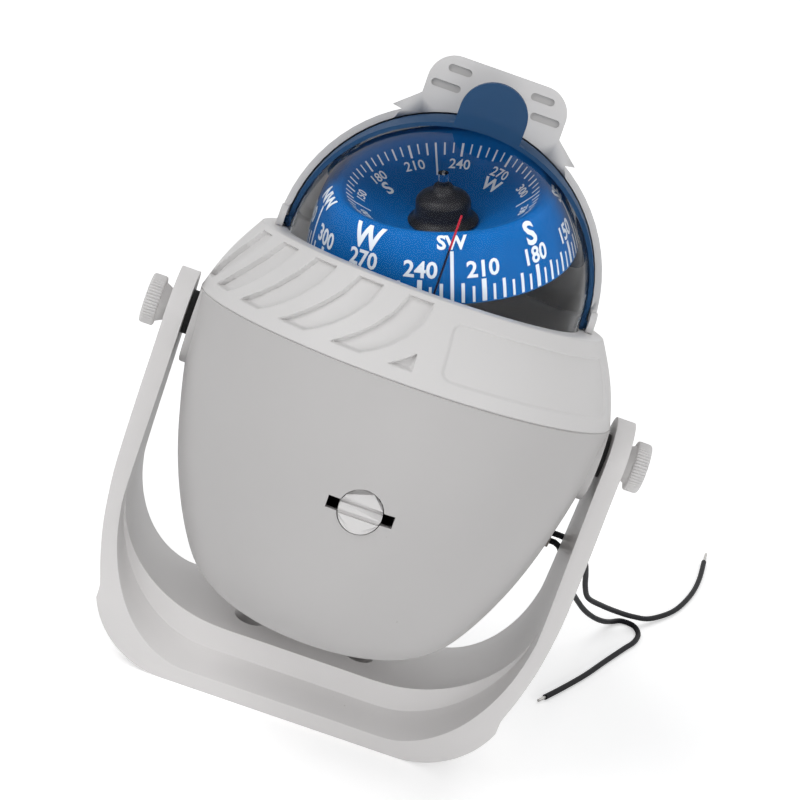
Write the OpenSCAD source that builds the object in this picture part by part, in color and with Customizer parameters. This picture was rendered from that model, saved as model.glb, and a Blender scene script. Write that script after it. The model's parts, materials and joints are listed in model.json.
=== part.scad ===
// Pivoting marine compass in a U bracket: a fluid capsule with a gimballed card,
// held in a moulded housing that tilts between two thumbscrews.
// The mounting face of the bracket lies on z = 0, its centre is the origin and the front faces -Y.

/* [Bracket] */
// Free height under the housing as it swings over the raised floor
floor_gap = 3.4; // [2:0.1:6]
// Gap between the housing and each arm
arm_gap = 1.2; // [1.1:0.1:2]
// Depth of the bracket foot, front to back
foot_depth = 35; // [32:1:40]
// Depth of the arms at the pivots
arm_depth = 19.2; // [17:0.2:22]
// Wall of the arms and of the front lip
arm_wall = 4.4; // [4:0.1:4.8]
// Straight bottom edge at the front, as a share of the housing's diameter
foot_share = 0.58; // [0.54:0.01:0.62]
// Radius of the outer bottom corners
foot_corner_r = 22; // [20:0.5:24]
// Height of the raised floor over the mounting face
floor_height = 14.1; // [12:0.1:14.4]
// Run of the bevelled lip in front of the raised floor
lip_run = 7; // [5:0.5:9]
// Hole for one mounting screw
screw_hole_d = 4.2; // [3.2:0.1:5]
// Counterbore for the head of a mounting screw
screw_head_d = 8; // [7:0.5:10]
// Distance between the two mounting screws
screw_spacing = 27.4; // [22:0.2:32]

/* [Housing] */
// Tilt of the housing back from upright
housing_tilt = 13.3; // [8:0.1:16]
// Diameter of the housing at the seam
housing_d = 100; // [90:0.5:110]
// Height of the seam above the pivot line
seam_height = 7; // [6:0.5:9]
// Depth of the housing bowl below the seam
bowl_depth = 66.2; // [60:0.2:72]
// Wall of the mouldings
shell_wall = 2.4; // [2:0.1:3]
// Height of the trim ring above the seam
trim_height = 19; // [17:0.5:21]
// Width of the trim ring's shoulder, from the seam in to the dome
shoulder = 15; // [14:0.5:17]
// Width of the trim ring's top, round the dome
rim_width = 6.5; // [6:0.1:8]
// Depth of the slanted recesses
recess_depth = 0.9; // [0.5:0.1:1.2]
// Diameter of the side bosses at the pivots
boss_d = 23; // [20:0.5:25]

/* [Capsule] */
// Wall of the dome and of the capsule bowl
capsule_wall = 2; // [1.6:0.1:2.3]
// Height of the dome's centre above the top of the trim ring
rim_drop = 1.5; // [1:0.1:2]
// Width of the capsule flange outside the dome
flange_width = 5.4; // [4.6:0.1:6]
// Depth of the capsule flange below the dome's centre
flange_drop = 9; // [8:0.5:10]
// Gap between nested spherical shells
shell_gap = 0.4; // [0.35:0.05:0.5]

/* [Hood and shade] */
// Thickness of the white hood over the back of the dome
hood_wall = 1.6; // [1.4:0.1:2]
// Thickness of the tinted shade
shade_wall = 1; // [0.8:0.1:1.2]
// Width of the grip plate
plate_width = 33.4; // [30:0.2:36]
// Rise of the grip plate above the hood
plate_rise = 10.2; // [8:0.2:13]
// Width of the shade's thumb tab
tab_width = 15.6; // [13:0.2:18]
// Rise of the thumb tab above the shade
tab_rise = 11.4; // [9:0.2:13]
// Angle of the shade's front edge, from the front horizontal
shade_lean = 73; // [70:1:80]

/* [Card] */
// Height of the card pivot above the dome centre
card_pivot_height = 4.2; // [3.8:0.1:4.6]
// Free space between the card's lower edge and the dome as the card swings
card_gap = 2.8; // [2.4:0.1:3.4]
// Height of the card's crest as a share of its radius
card_rise = 0.573; // [0.54:0.005:0.59]
// Diameter of the dark hub in the middle of the card
hub_d = 9.5; // [8.5:0.1:10.5]
// Width of the gimbal's cross block
gimbal_w = 2.2; // [2:0.05:2.3]
// Heel of the card to the left, as it floats level in a heeled housing
card_heel = 19.2; // [15:0.1:22]
// Dip of the card towards the front
card_dip = 17.9; // [12:0.1:20]

/* [Knobs and plug] */
// Diameter of the knurled rim
knob_d = 12; // [10:0.1:12.5]
// Thickness of the knurled rim
knob_rim = 3.5; // [3:0.1:4.5]
// Diameter of the threaded stud
stud_d = 4; // [3:0.1:5]
// Thickness of the rubber washer between arm and housing
washer_t = 1.7; // [1.4:0.1:1.75]
// Diameter of the rubber washer
washer_d = 10.5; // [9:0.1:12]
// Diameter of the compensator plug
plug_d = 9.8; // [9:0.1:11]

/* [Lamp and leads] */
// Diameter of the lamp holder's body
holder_d = 8; // [7:0.1:9]
// Diameter of one lead
lead_d = 1.5; // [1.2:0.1:1.6]
// Diameter of the tinned wire at the end of a lead
tip_d = 0.8; // [0.5:0.1:1]
// Length of the bare wire at the end of the first lead
tip_a_len = 6.5; // [3:0.5:8]
// Length of the bare wire at the end of the second lead
tip_b_len = 3.5; // [3:0.5:8]

/* [Hidden] */
$fn = 72;

// Small values shared by the pieces
cut = 1;
fit = 0.06;
face_gap = 0.05;
seat_gap = 0.3;

// Housing values
seam_r = housing_d / 2;
dome_r = seam_r - shoulder;
trim_r = dome_r + rim_width;
trim_top = seam_height + trim_height;
dome_height = trim_top + rim_drop;
bore_r = dome_r - capsule_wall;
// Each row holds the depth below the seam, the half width and the half depth as shares
bowl_shares = [[0, 1, 1], [0.105, 0.988, 0.986], [0.21, 0.973, 0.974], [0.315, 0.948, 0.961],
               [0.42, 0.916, 0.944], [0.525, 0.879, 0.924], [0.63, 0.832, 0.9], [0.724, 0.779, 0.874],
               [0.808, 0.722, 0.842], [0.882, 0.66, 0.796], [0.925, 0.61, 0.745], [0.96, 0.545, 0.68],
               [0.987, 0.46, 0.59], [1, 0.36, 0.48]];
// Rows used for the hollow inside
hollow_rows = [13, 12, 11, 9, 7, 5, 3, 0];
ring_sides = 48;
// Farthest point of the bowl from the pivot line, as the housing tilts
bowl_reach = max([for (s = bowl_shares) norm([seam_r * s[2], bowl_depth * s[0] - seam_height])]);

// Bracket values
pivot_height = floor_height + floor_gap + bowl_reach;
arm_inner_x = seam_r + arm_gap;
arm_x = arm_inner_x + arm_wall;
boss_x = arm_inner_x - washer_t - face_gap;
boss_r = boss_d / 2;
foot_length = housing_d * foot_share;
arm_top_r = arm_depth / 2;
lip_height = arm_wall - seat_gap;
lean_shares = [[0.895, 0.21], [0.93, 0.29], [0.962, 0.38], [0.982, 0.47], [0.995, 0.58], [1, 0.8]];
arm_end = pivot_height + arm_top_r;
depth_shares = [[0, 1], [0.16, 1], [0.34, 0.93], [0.5, 0.84], [0.66, 0.73], [0.8, 0.63], [0.92, 0.555]];

// Trim ring recesses: the slanted grooves end at the middle of the front, the blank panel lies right of it
recess_count = 6;
recess_pitch = 16.2;
recess_first = 182.9;
recess_end = 270.3;
// Each row holds a height share and the angles of the left and the right edge from the groove's start
recess_shares = [[0.16, 0, 8.7], [0.24, 2.8, 11.8], [0.34, 5.6, 15], [0.5, 9.2, 18.6],
                 [0.7, 12.6, 21.8], [0.94, 15, 23.3]];
panel_from = 277.4;
panel_to = 342;
panel_low_share = 0.17;
panel_high_share = 0.83;

// Capsule values
flange_r = dome_r + flange_width - capsule_wall;
flange_t = capsule_wall;
gasket_t = capsule_wall * 0.4;
bowl_flange_drop = flange_drop + flange_t + gasket_t;
diaphragm_r = dome_r * 0.23;
diaphragm_t = capsule_wall * 0.4;
filler_r = capsule_wall * 0.75;

// Hood and shade values
shade_in = dome_r + shell_gap;
shade_out = shade_in + shade_wall;
hood_in = shade_out + shell_gap;
hood_out = hood_in + hood_wall;
plate_t = hood_wall * 1.25;
plate_reach = hood_out + plate_rise;
tab_r = tab_width / 2;
tab_reach = shade_out + tab_rise;
hood_lean = 93;
shade_back = 168;
pole_pin_r = shade_wall;
pole_r = shade_wall * 1.4;
slot_h = plate_width * 0.052;
// Each row holds the half distance and the length as shares of the plate's width, the height as a share of its rise
slot_shares = [[0.6, 0.17, 0.69], [0.72, 0.21, 0.27]];

// Card values
card_r = bore_r - card_pivot_height - card_gap;
card_height = card_r * card_rise;
card_t = gimbal_w * 0.41;
crest_share = 0.875;
hub_r = hub_d / 2;
hub_flange_r = hub_r * 1.3;
hub_seat = card_r * 0.242;
hub_top = hub_seat + hub_r * 1.3;
pin_r = gimbal_w * 0.18;
pin_reach = gimbal_w * 1.05;
tine_t = gimbal_w * 0.36;
tine_w = gimbal_w * 0.41;
tine_in = gimbal_w * 0.68;
cross_w = gimbal_w;
post_r = gimbal_w * 0.73;
needle_top = hub_top - card_t * 2;
jewel_r = gimbal_w * 0.55;

// Compensator values
plug_r = plug_d / 2;
plug_front = seam_r * 0.934;
plug_drop = bowl_depth * 0.343;
plug_len = plug_d * 0.7;
slot_len = plug_d * 1.55;
slot_w = plug_d * 0.286;
magnet_r = plug_d * 0.14;

// Lamp holder values, in the housing's own frame
holder_y = seam_r * 0.44;
holder_z = -bowl_depth * 0.392;
holder_r = holder_d / 2;
holder_neck_r = holder_d * 0.34;
holder_foot = seam_r * 0.62;
holder_end = seam_r * 0.97;
lead_offset = lead_d * 0.72;

// Lead routes: x and y as shares of the housing's half width, z as a share of the pivot height over the rest
lead_rest = lead_d / 2 + face_gap;
route_a_shares = [[1.04, 0.31, 0.6384], [1.11, 0.34, 0.6229], [1.17, 0.45, 0.5714],
                  [1.226, 0.62, 0.4995], [1.28, 0.84, 0.4096], [1.34, 1.1, 0.3018],
                  [1.42, 1.38, 0.194], [1.544, 1.612, 0.1222], [1.664, 1.798, 0.0695],
                  [1.776, 1.94, 0.0335], [1.896, 2.084, 0.0084], [2.046, 2.322, 0], [2.154, 2.606, 0],
                  [2.218, 2.876, 0], [2.258, 3.166, 0]];
route_b_shares = [[1.032, 0.316, 0.6025], [1.056, 0.344, 0.5737], [1.068, 0.396, 0.5342],
                  [1.096, 0.496, 0.4863], [1.16, 0.66, 0.4192], [1.24, 0.88, 0.3378],
                  [1.32, 1.12, 0.2491], [1.42, 1.36, 0.1557], [1.52, 1.58, 0.0815],
                  [1.604, 1.76, 0.0311], [1.664, 1.884, 0.0048], [1.728, 1.956, 0], [1.8, 1.948, 0],
                  [1.828, 1.864, 0], [1.804, 1.748, 0], [1.744, 1.62, 0], [1.636, 1.39, 0],
                  [1.524, 1.146, 0], [1.4, 0.908, 0], [1.31, 0.746, 0]];
route_a = [for (s = route_a_shares) [seam_r * s[0], seam_r * s[1], lead_rest + pivot_height * s[2]]];
route_b = [for (s = route_b_shares) [seam_r * s[0], seam_r * s[1], lead_rest + pivot_height * s[2]]];

// Places a housing piece: the housing frame has its origin on the pivot line
module in_housing() {
    translate([0, 0, pivot_height]) rotate([-housing_tilt, 0, 0]) children();
}

// Places a capsule piece: origin at the dome centre
module in_capsule() {
    in_housing() translate([0, 0, dome_height]) children();
}

// Places a card piece: origin at the card pivot, level with the floating card
module in_card() {
    in_capsule() translate([0, 0, card_pivot_height])
        rotate([0, -card_heel, 0]) rotate([card_dip, 0, 0]) children();
}

// Points of an arc in a plane
function arc(cx, cy, r, a0, a1, n) =
    [for (i = [0 : n]) let (a = a0 + (a1 - a0) * i / n) [cx + r * cos(a), cy + r * sin(a)]];

// Right half of the bracket's outer outline, from the bottom up
function bracket_half() = concat(
    [[0, 0]],
    arc(foot_length / 2, foot_corner_r, foot_corner_r, -90, -14, 8),
    [for (s = lean_shares) [arm_x * s[0], pivot_height * s[1]]],
    [[arm_x, arm_end]]);

// Mirrors a right half outline into a closed one
function both_halves(half) = concat(half, [for (i = [len(half) - 1 : -1 : 0]) [-half[i][0], half[i][1]]]);

// Opening of the bracket at one depth: the corner starts at floor_x on the floor
function opening_half(floor_x, floor_z, side_x, side_z, bulge) = concat(
    [[0, floor_z], [floor_x, floor_z]],
    [for (i = [1 : 7]) let (a = 90 * i / 8)
        [floor_x + (side_x - floor_x) * pow(sin(a), bulge),
         floor_z + (side_z - floor_z) * (1 - pow(cos(a), bulge))]],
    [[side_x, side_z], [arm_inner_x, arm_end + foot_corner_r]]);

module opening_slice(floor_x, floor_z, side_x, side_z, bulge, y) {
    translate([0, y + face_gap, 0]) rotate([90, 0, 0]) linear_extrude(face_gap)
        polygon(both_halves(opening_half(floor_x, floor_z, side_x, side_z, bulge)));
}

module bracket() {
    front = -foot_depth / 2;
    lip_back = front + lip_run;
    back = foot_depth / 2;
    side_z = pivot_height * 0.52;
    color("white") difference() {
        intersection() {
            translate([0, foot_depth / 2, 0]) rotate([90, 0, 0]) linear_extrude(foot_depth)
                polygon(both_halves(bracket_half()));
            bracket_side();
        }
        // Bevelled lip along the front
        hull() {
            opening_slice(foot_length / 2 - lip_height, lip_height, arm_inner_x, side_z, 1.05,
                          front - face_gap);
            opening_slice(foot_length / 2 - lip_run, lip_height + lip_run * 0.55, arm_inner_x,
                          side_z, 1.05, lip_back);
        }
        // Raised pad, opening out towards the back
        hull() {
            opening_slice(foot_length * 0.33, floor_height, arm_inner_x, side_z, 1.0, lip_back);
            opening_slice(foot_length * 0.52, floor_height, arm_inner_x, side_z, 1.0, back + face_gap);
        }
        // Pivot holes for the studs
        for (s = [-1, 1]) translate([s * (arm_x + cut), 0, pivot_height]) rotate([0, -s * 90, 0])
            cylinder(h = arm_wall + cut * 2, r = stud_d / 2 + seat_gap / 2);
        // Mounting screw holes with counterbores
        for (s = [-1, 1]) translate([s * screw_spacing / 2, 0, 0]) {
            translate([0, 0, -cut]) cylinder(h = floor_height + cut * 2, r = screw_hole_d / 2);
            translate([0, 0, floor_height * 0.6]) cylinder(h = floor_height, r = screw_head_d / 2);
        }
        // Hollow underside
        bracket_core();
    }
}

// Side outline of the bracket: deep at the foot, narrow with a round end at the pivots
module bracket_side() {
    half = [for (s = depth_shares) [foot_depth / 2 * s[1], pivot_height * s[0]]];
    outline = concat(half, [for (i = [len(half) - 1 : -1 : 0]) [-half[i][0], half[i][1]]]);
    rotate([90, 0, 90]) translate([0, 0, -arm_x * 2]) linear_extrude(arm_x * 4) union() {
        polygon(outline);
        translate([0, pivot_height]) circle(r = arm_top_r);
        translate([-arm_top_r, pivot_height * 0.9]) square([arm_depth, pivot_height * 0.1]);
    }
}

// Two pockets under the raised floor, either side of a middle rib
module bracket_core() {
    pocket_w = screw_spacing - screw_head_d - arm_wall;
    pocket_d = foot_depth - lip_run * 2 - arm_wall;
    translate([-pocket_w / 2, -pocket_d / 2, -cut])
        cube([pocket_w, pocket_d, floor_height - arm_wall + cut]);
}

module knob(side) {
    neck = knob_rim * 0.6;
    rim_r = knob_d / 2;
    knurls = 48;
    groove = knob_d * 0.022;
    color("white") translate([0, 0, pivot_height]) rotate([0, side * 90, 0])
        translate([0, 0, arm_x + face_gap]) difference() {
            union() {
                cylinder(h = neck, r1 = rim_r * 0.62, r2 = rim_r * 0.8);
                translate([0, 0, neck]) rotate_extrude() polygon([[0, 0], [rim_r - groove, 0],
                    [rim_r, groove], [rim_r, knob_rim - groove * 2], [rim_r - groove * 2, knob_rim],
                    [0, knob_rim]]);
            }
            // Bore that the stud is moulded into
            translate([0, 0, -cut]) cylinder(h = neck + knob_rim * 0.5 + cut, r = stud_d / 2);
            for (i = [0 : knurls - 1]) rotate([0, 0, i * 360 / knurls])
                translate([rim_r, 0, neck - cut]) cylinder(h = knob_rim + cut * 2, r = groove, $fn = 4);
        }
}

module left_knob() knob(-1);
module right_knob() knob(1);

module stud(side) {
    inside = boss_x - shell_wall * 2.5;
    outside = arm_x + knob_rim * 1.1;
    color("silver") translate([0, 0, pivot_height]) rotate([0, side * 90, 0])
        translate([0, 0, inside]) cylinder(h = outside - inside, r = stud_d / 2);
}

module left_stud() stud(-1);
module right_stud() stud(1);

module friction_washers() {
    color("dimgray") for (s = [-1, 1]) translate([0, 0, pivot_height]) rotate([0, s * 90, 0])
        translate([0, 0, boss_x]) difference() {
            cylinder(h = washer_t, r = washer_d / 2);
            translate([0, 0, -cut]) cylinder(h = washer_t + cut * 2, r = stud_d / 2 + fit * 3);
        }
}

module pivot_inserts() {
    insert_len = shell_wall * 3;
    color("goldenrod") for (s = [-1, 1]) translate([0, 0, pivot_height]) rotate([0, s * 90, 0])
        translate([0, 0, boss_x - insert_len - face_gap]) difference() {
            cylinder(h = insert_len, r = stud_d * 0.8);
            translate([0, 0, -cut]) cylinder(h = insert_len + cut * 2, r = stud_d / 2 + fit);
        }
}

// Lofted bowl: a round seam that flows into a flatter front and a rounded bottom
function loft_ring(w, d, z) = [for (i = [0 : ring_sides - 1]) let (a = 360 * i / ring_sides)
    [w * cos(a), d * sin(a), z]];

function loft_faces(rings) = concat(
    [[for (i = [0 : ring_sides - 1]) i]],
    [for (k = [0 : rings - 2], i = [0 : ring_sides - 1]) let (j = (i + 1) % ring_sides)
        each [[k * ring_sides + i, (k + 1) * ring_sides + j, k * ring_sides + j],
              [k * ring_sides + i, (k + 1) * ring_sides + i, (k + 1) * ring_sides + j]]],
    [[for (i = [ring_sides - 1 : -1 : 0]) (rings - 1) * ring_sides + i]]);

// Solid bowl from the listed rows, drawn in by a wall and run up past the seam
module bowl_solid(wall, top, picks) {
    n = len(picks);
    rows = [for (k = picks) bowl_shares[k]];
    points = [for (s = rows) each loft_ring(seam_r * s[1] - wall, seam_r * s[2] - wall,
        seam_height + (s[0] == 0 ? top : 0) - (bowl_depth - wall) * s[0])];
    polyhedron(points, loft_faces(n), convexity = 4);
}

module lower_housing() {
    $fn = 48;
    seat_r = flange_r + fit * 3;
    seat_top = dome_height - bowl_flange_drop - flange_t;
    seat_floor = -seam_height * 0.3;
    color("white") in_housing() difference() {
        union() {
            difference() {
                bowl_solid(0, 0, [for (k = [len(bowl_shares) - 1 : -1 : 0]) k]);
                bowl_solid(shell_wall, cut, hollow_rows);
            }
            // Ring that carries the capsule flange, on a web to the wall
            rotate_extrude() polygon([[dome_r + seat_gap, seat_floor], [seam_r - shell_wall / 2, seat_floor],
                [seam_r - shell_wall / 2, seat_floor + shell_wall], [seat_r, seat_floor + shell_wall],
                [seat_r, seat_top], [dome_r + seat_gap, seat_top]]);
            // Side bosses
            intersection() {
                for (s = [-1, 1]) rotate([0, s * 90, 0]) translate([0, 0, seam_r - shell_wall * 4])
                    cylinder(h = boss_x - seam_r + shell_wall * 4, r = boss_r);
                translate([-seam_r * 2, -seam_r, seam_height - seam_r]) cube([seam_r * 4, seam_r * 2, seam_r]);
            }
            // Boss behind the compensator
            translate([0, -plug_front + shell_wall, -plug_drop]) rotate([-90, 0, 0])
                cylinder(h = plug_len - shell_wall, r = plug_r + shell_wall);
        }
        // Flat pockets for the rubber washers
        for (s = [-1, 1]) rotate([0, s * 90, 0]) translate([0, 0, boss_x])
            cylinder(h = shell_wall, r = washer_d / 2 + seat_gap);
        // Holes for the brass inserts
        for (s = [-1, 1]) rotate([0, s * 90, 0]) translate([0, 0, seam_r - shell_wall * 5])
            cylinder(h = shell_wall * 6, r = stud_d * 0.8);
        // Compensator hole and the slot across it
        translate([0, -seam_r, -plug_drop]) rotate([-90, 0, 0])
            cylinder(h = seam_r - plug_front + plug_len + cut, r = plug_r + fit);
        translate([-slot_len / 2, -seam_r, -plug_drop - slot_w / 2])
            cube([slot_len, seam_r - plug_front + shell_wall * 1.2, slot_w]);
        // Hole for the lamp holder
        translate([seam_r * 0.6, holder_y, holder_z]) rotate([0, 90, 0])
            cylinder(h = seam_r, r = holder_r + fit);
    }
}

module trim_ring() {
    skirt_in = dome_r + shell_gap;
    skirt_out = skirt_in + shell_wall;
    clamp_z = dome_height - flange_drop + face_gap;
    color("white") in_housing() difference() {
        rotate_extrude() polygon(concat(
            [[seam_r, seam_height + face_gap]],
            trim_profile(0),
            [[skirt_in, trim_top], [skirt_in, clamp_z], [skirt_out, clamp_z],
             [skirt_out, trim_top - shell_wall]],
            [for (i = [6 : -1 : 0]) trim_profile(-shell_wall)[i]],
            [[seam_r - shell_wall, seam_height + face_gap]]));
        trim_recesses();
        blank_panel();
    }
}

// Outer face of the trim ring, moved out by grow: a gentle outward curve
function trim_profile(grow) = [for (i = [0 : 6]) let (t = i / 6, bulge = trim_height * 0.05 * sin(180 * t))
    [seam_r + (trim_r - seam_r) * t + bulge + grow,
     seam_height + face_gap + (trim_height - face_gap + min(grow, 0)) * t]];

// Layer that the recesses are cut from
module trim_layer(depth) {
    rotate_extrude() polygon(concat(trim_profile(shell_wall),
        [for (i = [6 : -1 : 0]) trim_profile(-depth)[i]]));
}

// Radius of the trim ring at a height share, without its bulge
function trim_radius(share) = seam_r + (trim_r - seam_r) * share;

// Slanted, curved recesses on the left half of the trim ring, cut off at the middle of the front
module trim_recesses() {
    intersection() {
        trim_layer(recess_depth);
        for (k = [0 : recess_count - 1]) recess_cutter(recess_first + recess_pitch * k);
        rotate([0, 0, recess_end]) translate([0, -seam_r * 2, 0]) cube([seam_r * 2, seam_r * 2, trim_top * 2]);
    }
}

// A slanted bar that crosses the ring's wall, drawn in the plane square to its middle
module recess_cutter(start) {
    last = recess_shares[len(recess_shares) - 1];
    mid = last[2] / 2;
    left = [for (s = recess_shares) [trim_radius(s[0]) * sin(s[1] - mid), seam_height + trim_height * s[0]]];
    right = [for (i = [len(recess_shares) - 1 : -1 : 0]) let (s = recess_shares[i])
        [trim_radius(s[0]) * sin(s[2] - mid), seam_height + trim_height * s[0]]];
    rotate([0, 0, start + mid + 90]) rotate([90, 0, 0]) linear_extrude(seam_r + cut)
        polygon(concat(left, right));
}

// Shallow blank panel with rounded corners on the right half of the trim ring
module blank_panel() {
    half = (panel_to - panel_from) / 2;
    corner = trim_height * 0.13;
    low = seam_height + trim_height * panel_low_share + corner;
    high = seam_height + trim_height * panel_high_share - corner;
    low_x = trim_radius(panel_low_share) * sin(half) - corner;
    high_x = trim_radius(panel_high_share) * sin(half) - corner;
    intersection() {
        trim_layer(recess_depth * 0.55);
        rotate([0, 0, (panel_from + panel_to) / 2 + 90]) rotate([90, 0, 0]) linear_extrude(seam_r + cut)
            polygon(concat(arc(low_x, low, corner, -90, 0, 5), arc(high_x, high, corner, 0, 90, 5),
                arc(-high_x, high, corner, 90, 180, 5), arc(-low_x, low, corner, 180, 270, 5)));
    }
}

// Part of a spherical shell swept about the left-right line, from one angle over the front to another
module lune(r_in, r_out, from_angle, to_angle) {
    steps = 36;
    end = asin(pole_r * 0.6 / r_out);
    span = 180 - end * 2;
    rotate([90, 0, -90]) rotate([0, 0, from_angle]) rotate_extrude(angle = to_angle - from_angle, $fn = 96)
        polygon(concat(
            [for (i = [0 : steps]) let (a = end + span * i / steps) [r_out * sin(a), r_out * cos(a)]],
            [for (i = [steps : -1 : 0]) let (a = end + span * i / steps) [r_in * sin(a), r_in * cos(a)]]));
}

module sun_hood() {
    foot = -rim_drop + face_gap;
    ear_r = pole_pin_r * 3.4;
    skirt_inset = hood_wall * 0.08;
    color("white") in_capsule() difference() {
        union() {
            lune(hood_in, hood_out, hood_lean, 180);
            // Rear skirt down to the rim
            translate([0, 0, foot]) rotate_extrude(angle = 180, $fn = 96)
                translate([hood_in + skirt_inset, 0]) square([hood_wall - skirt_inset * 2, rim_drop]);
            // Ears that hold the shade's pins
            for (s = [-1, 1]) rotate([90, 0, s * 90]) translate([0, 0, hood_in + skirt_inset])
                linear_extrude(hood_wall) difference() {
                    circle(r = ear_r);
                    translate([-ear_r, -ear_r * 2 + foot]) square([ear_r * 2, ear_r * 2]);
                }
            grip_plate();
        }
        // Holes for the shade's pins
        rotate([0, 90, 0]) translate([0, 0, -hood_out - cut])
            cylinder(h = (hood_out + cut) * 2, r = pole_pin_r + fit);
    }
}

// Upright plate with four finger slots at the front edge of the hood
module grip_plate() {
    half_w = plate_width / 2;
    corner_r = plate_width * 0.19;
    wing_x = half_w * 1.33;
    wing_z = hood_out * 0.865;
    rotate([90 - hood_lean, 0, 0]) translate([0, plate_t, 0]) rotate([90, 0, 0]) linear_extrude(plate_t)
        difference() {
            union() {
                translate([-half_w + corner_r, plate_reach - corner_r * 2.4])
                    square([plate_width - corner_r * 2, corner_r * 2.4]);
                translate([-half_w, hood_out * 0.9])
                    square([plate_width, plate_reach - corner_r - hood_out * 0.9]);
                for (s = [-1, 1]) translate([s * (half_w - corner_r), plate_reach - corner_r]) circle(r = corner_r);
                for (s = [-1, 1]) polygon([[s * half_w * 0.9, hood_out * 0.93], [s * half_w, hood_out * 0.99],
                    [s * wing_x, wing_z], [s * half_w * 0.9, hood_in * 0.87]]);
            }
            circle(r = hood_in + hood_wall / 2);
            for (s = [-1, 1], p = slot_shares) {
                slot_half = (plate_width * p[1] - slot_h) / 2;
                slot_x = s * half_w * p[0];
                slot_z = hood_out + plate_rise * p[2];
                translate([slot_x - slot_half, slot_z - slot_h / 2]) square([slot_half * 2, slot_h]);
                for (e = [-1, 1]) translate([slot_x + e * slot_half, slot_z]) circle(r = slot_h / 2, $fn = 24);
            }
        }
}

module sun_shade() {
    color([0.15, 0.3, 0.65, 0.6]) in_capsule() union() {
        lune(shade_in, shade_out, shade_lean, shade_back);
        // Poles with moulded pins
        for (s = [-1, 1]) rotate([0, s * 90, 0]) {
            translate([0, 0, shade_in]) cylinder(h = shade_wall, r = pole_r);
            translate([0, 0, shade_in]) cylinder(h = hood_out - shade_in - seat_gap, r = pole_pin_r);
        }
        // Thumb tab at the front edge
        rotate([90 - shade_lean, 0, 0]) translate([0, shade_wall, 0]) rotate([90, 0, 0])
            linear_extrude(shade_wall) difference() {
                union() {
                    translate([0, tab_reach - tab_r]) circle(r = tab_r);
                    translate([-tab_r, shade_out * 0.93]) square([tab_r * 2, tab_reach - tab_r - shade_out * 0.93]);
                }
                circle(r = shade_in + shade_wall / 2);
            }
    }
}

module capsule_dome() {
    color([0.8, 0.9, 0.95, 0.35]) in_capsule() difference() {
        union() {
            intersection() {
                sphere(r = dome_r, $fn = 96);
                translate([-dome_r * 2, -dome_r * 2, -flange_drop - flange_t])
                    cube([dome_r * 4, dome_r * 4, dome_r * 4]);
            }
            translate([0, 0, -flange_drop - flange_t]) cylinder(h = flange_t, r = flange_r);
        }
        sphere(r = bore_r, $fn = 96);
    }
}

module capsule_gasket() {
    color("black") in_capsule() translate([0, 0, -bowl_flange_drop]) difference() {
        cylinder(h = gasket_t, r = flange_r - shell_gap);
        translate([0, 0, -cut]) cylinder(h = gasket_t + cut * 2, r = dome_r - capsule_wall / 2);
    }
}

module capsule_bowl() {
    color([0.25, 0.26, 0.28]) in_capsule() difference() {
        union() {
            intersection() {
                sphere(r = dome_r, $fn = 96);
                translate([-dome_r * 2, -dome_r * 2, -bowl_flange_drop - dome_r * 2])
                    cube([dome_r * 4, dome_r * 4, dome_r * 2]);
            }
            translate([0, 0, -bowl_flange_drop - flange_t]) cylinder(h = flange_t, r = flange_r);
            // Boss for the pivot post
            translate([0, 0, -bore_r - face_gap]) cylinder(h = capsule_wall * 2, r = post_r * 2.5);
        }
        difference() {
            sphere(r = bore_r, $fn = 96);
            translate([0, 0, -bore_r - face_gap]) cylinder(h = capsule_wall * 2, r = post_r * 2.5);
        }
        // Seat of the pivot post
        translate([0, 0, -bore_r]) cylinder(h = capsule_wall * 3, r = post_r);
        // Port of the expansion diaphragm
        rotate([0, 140, 0]) translate([0, 0, bore_r - capsule_wall])
            cylinder(h = capsule_wall * 4, r = diaphragm_r - capsule_wall);
        // Threaded filler hole
        rotate([0, -125, 0]) translate([0, 0, bore_r - capsule_wall]) cylinder(h = capsule_wall * 4, r = filler_r);
    }
}

module expansion_diaphragm() {
    color("black") in_capsule() rotate([0, 140, 0]) translate([0, 0, dome_r + face_gap])
        cylinder(h = diaphragm_t, r = diaphragm_r);
}

module diaphragm_ring() {
    color("gray") in_capsule() rotate([0, 140, 0]) translate([0, 0, dome_r + face_gap * 2 + diaphragm_t])
        difference() {
            cylinder(h = diaphragm_t, r = diaphragm_r);
            translate([0, 0, -cut]) cylinder(h = diaphragm_t + cut * 2, r = diaphragm_r - capsule_wall);
        }
}

module filler_screw() {
    color("silver") in_capsule() rotate([0, -125, 0]) {
        translate([0, 0, bore_r]) cylinder(h = capsule_wall, r = filler_r - face_gap);
        translate([0, 0, dome_r]) cylinder(h = capsule_wall / 2, r = filler_r * 1.8);
    }
}

// Thin upright rod in front of the card
module lubber_line() {
    rod_r = gimbal_w * 0.115;
    rod_y = -card_r - card_gap * 0.82;
    rod_top = dome_r * 0.457;
    rod_foot = -sqrt(pow(bore_r, 2) - pow(rod_y - rod_r, 2)) + rod_r * 2;
    color("crimson") in_capsule() translate([0, rod_y, rod_foot]) cylinder(h = rod_top - rod_foot, r = rod_r);
}

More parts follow.
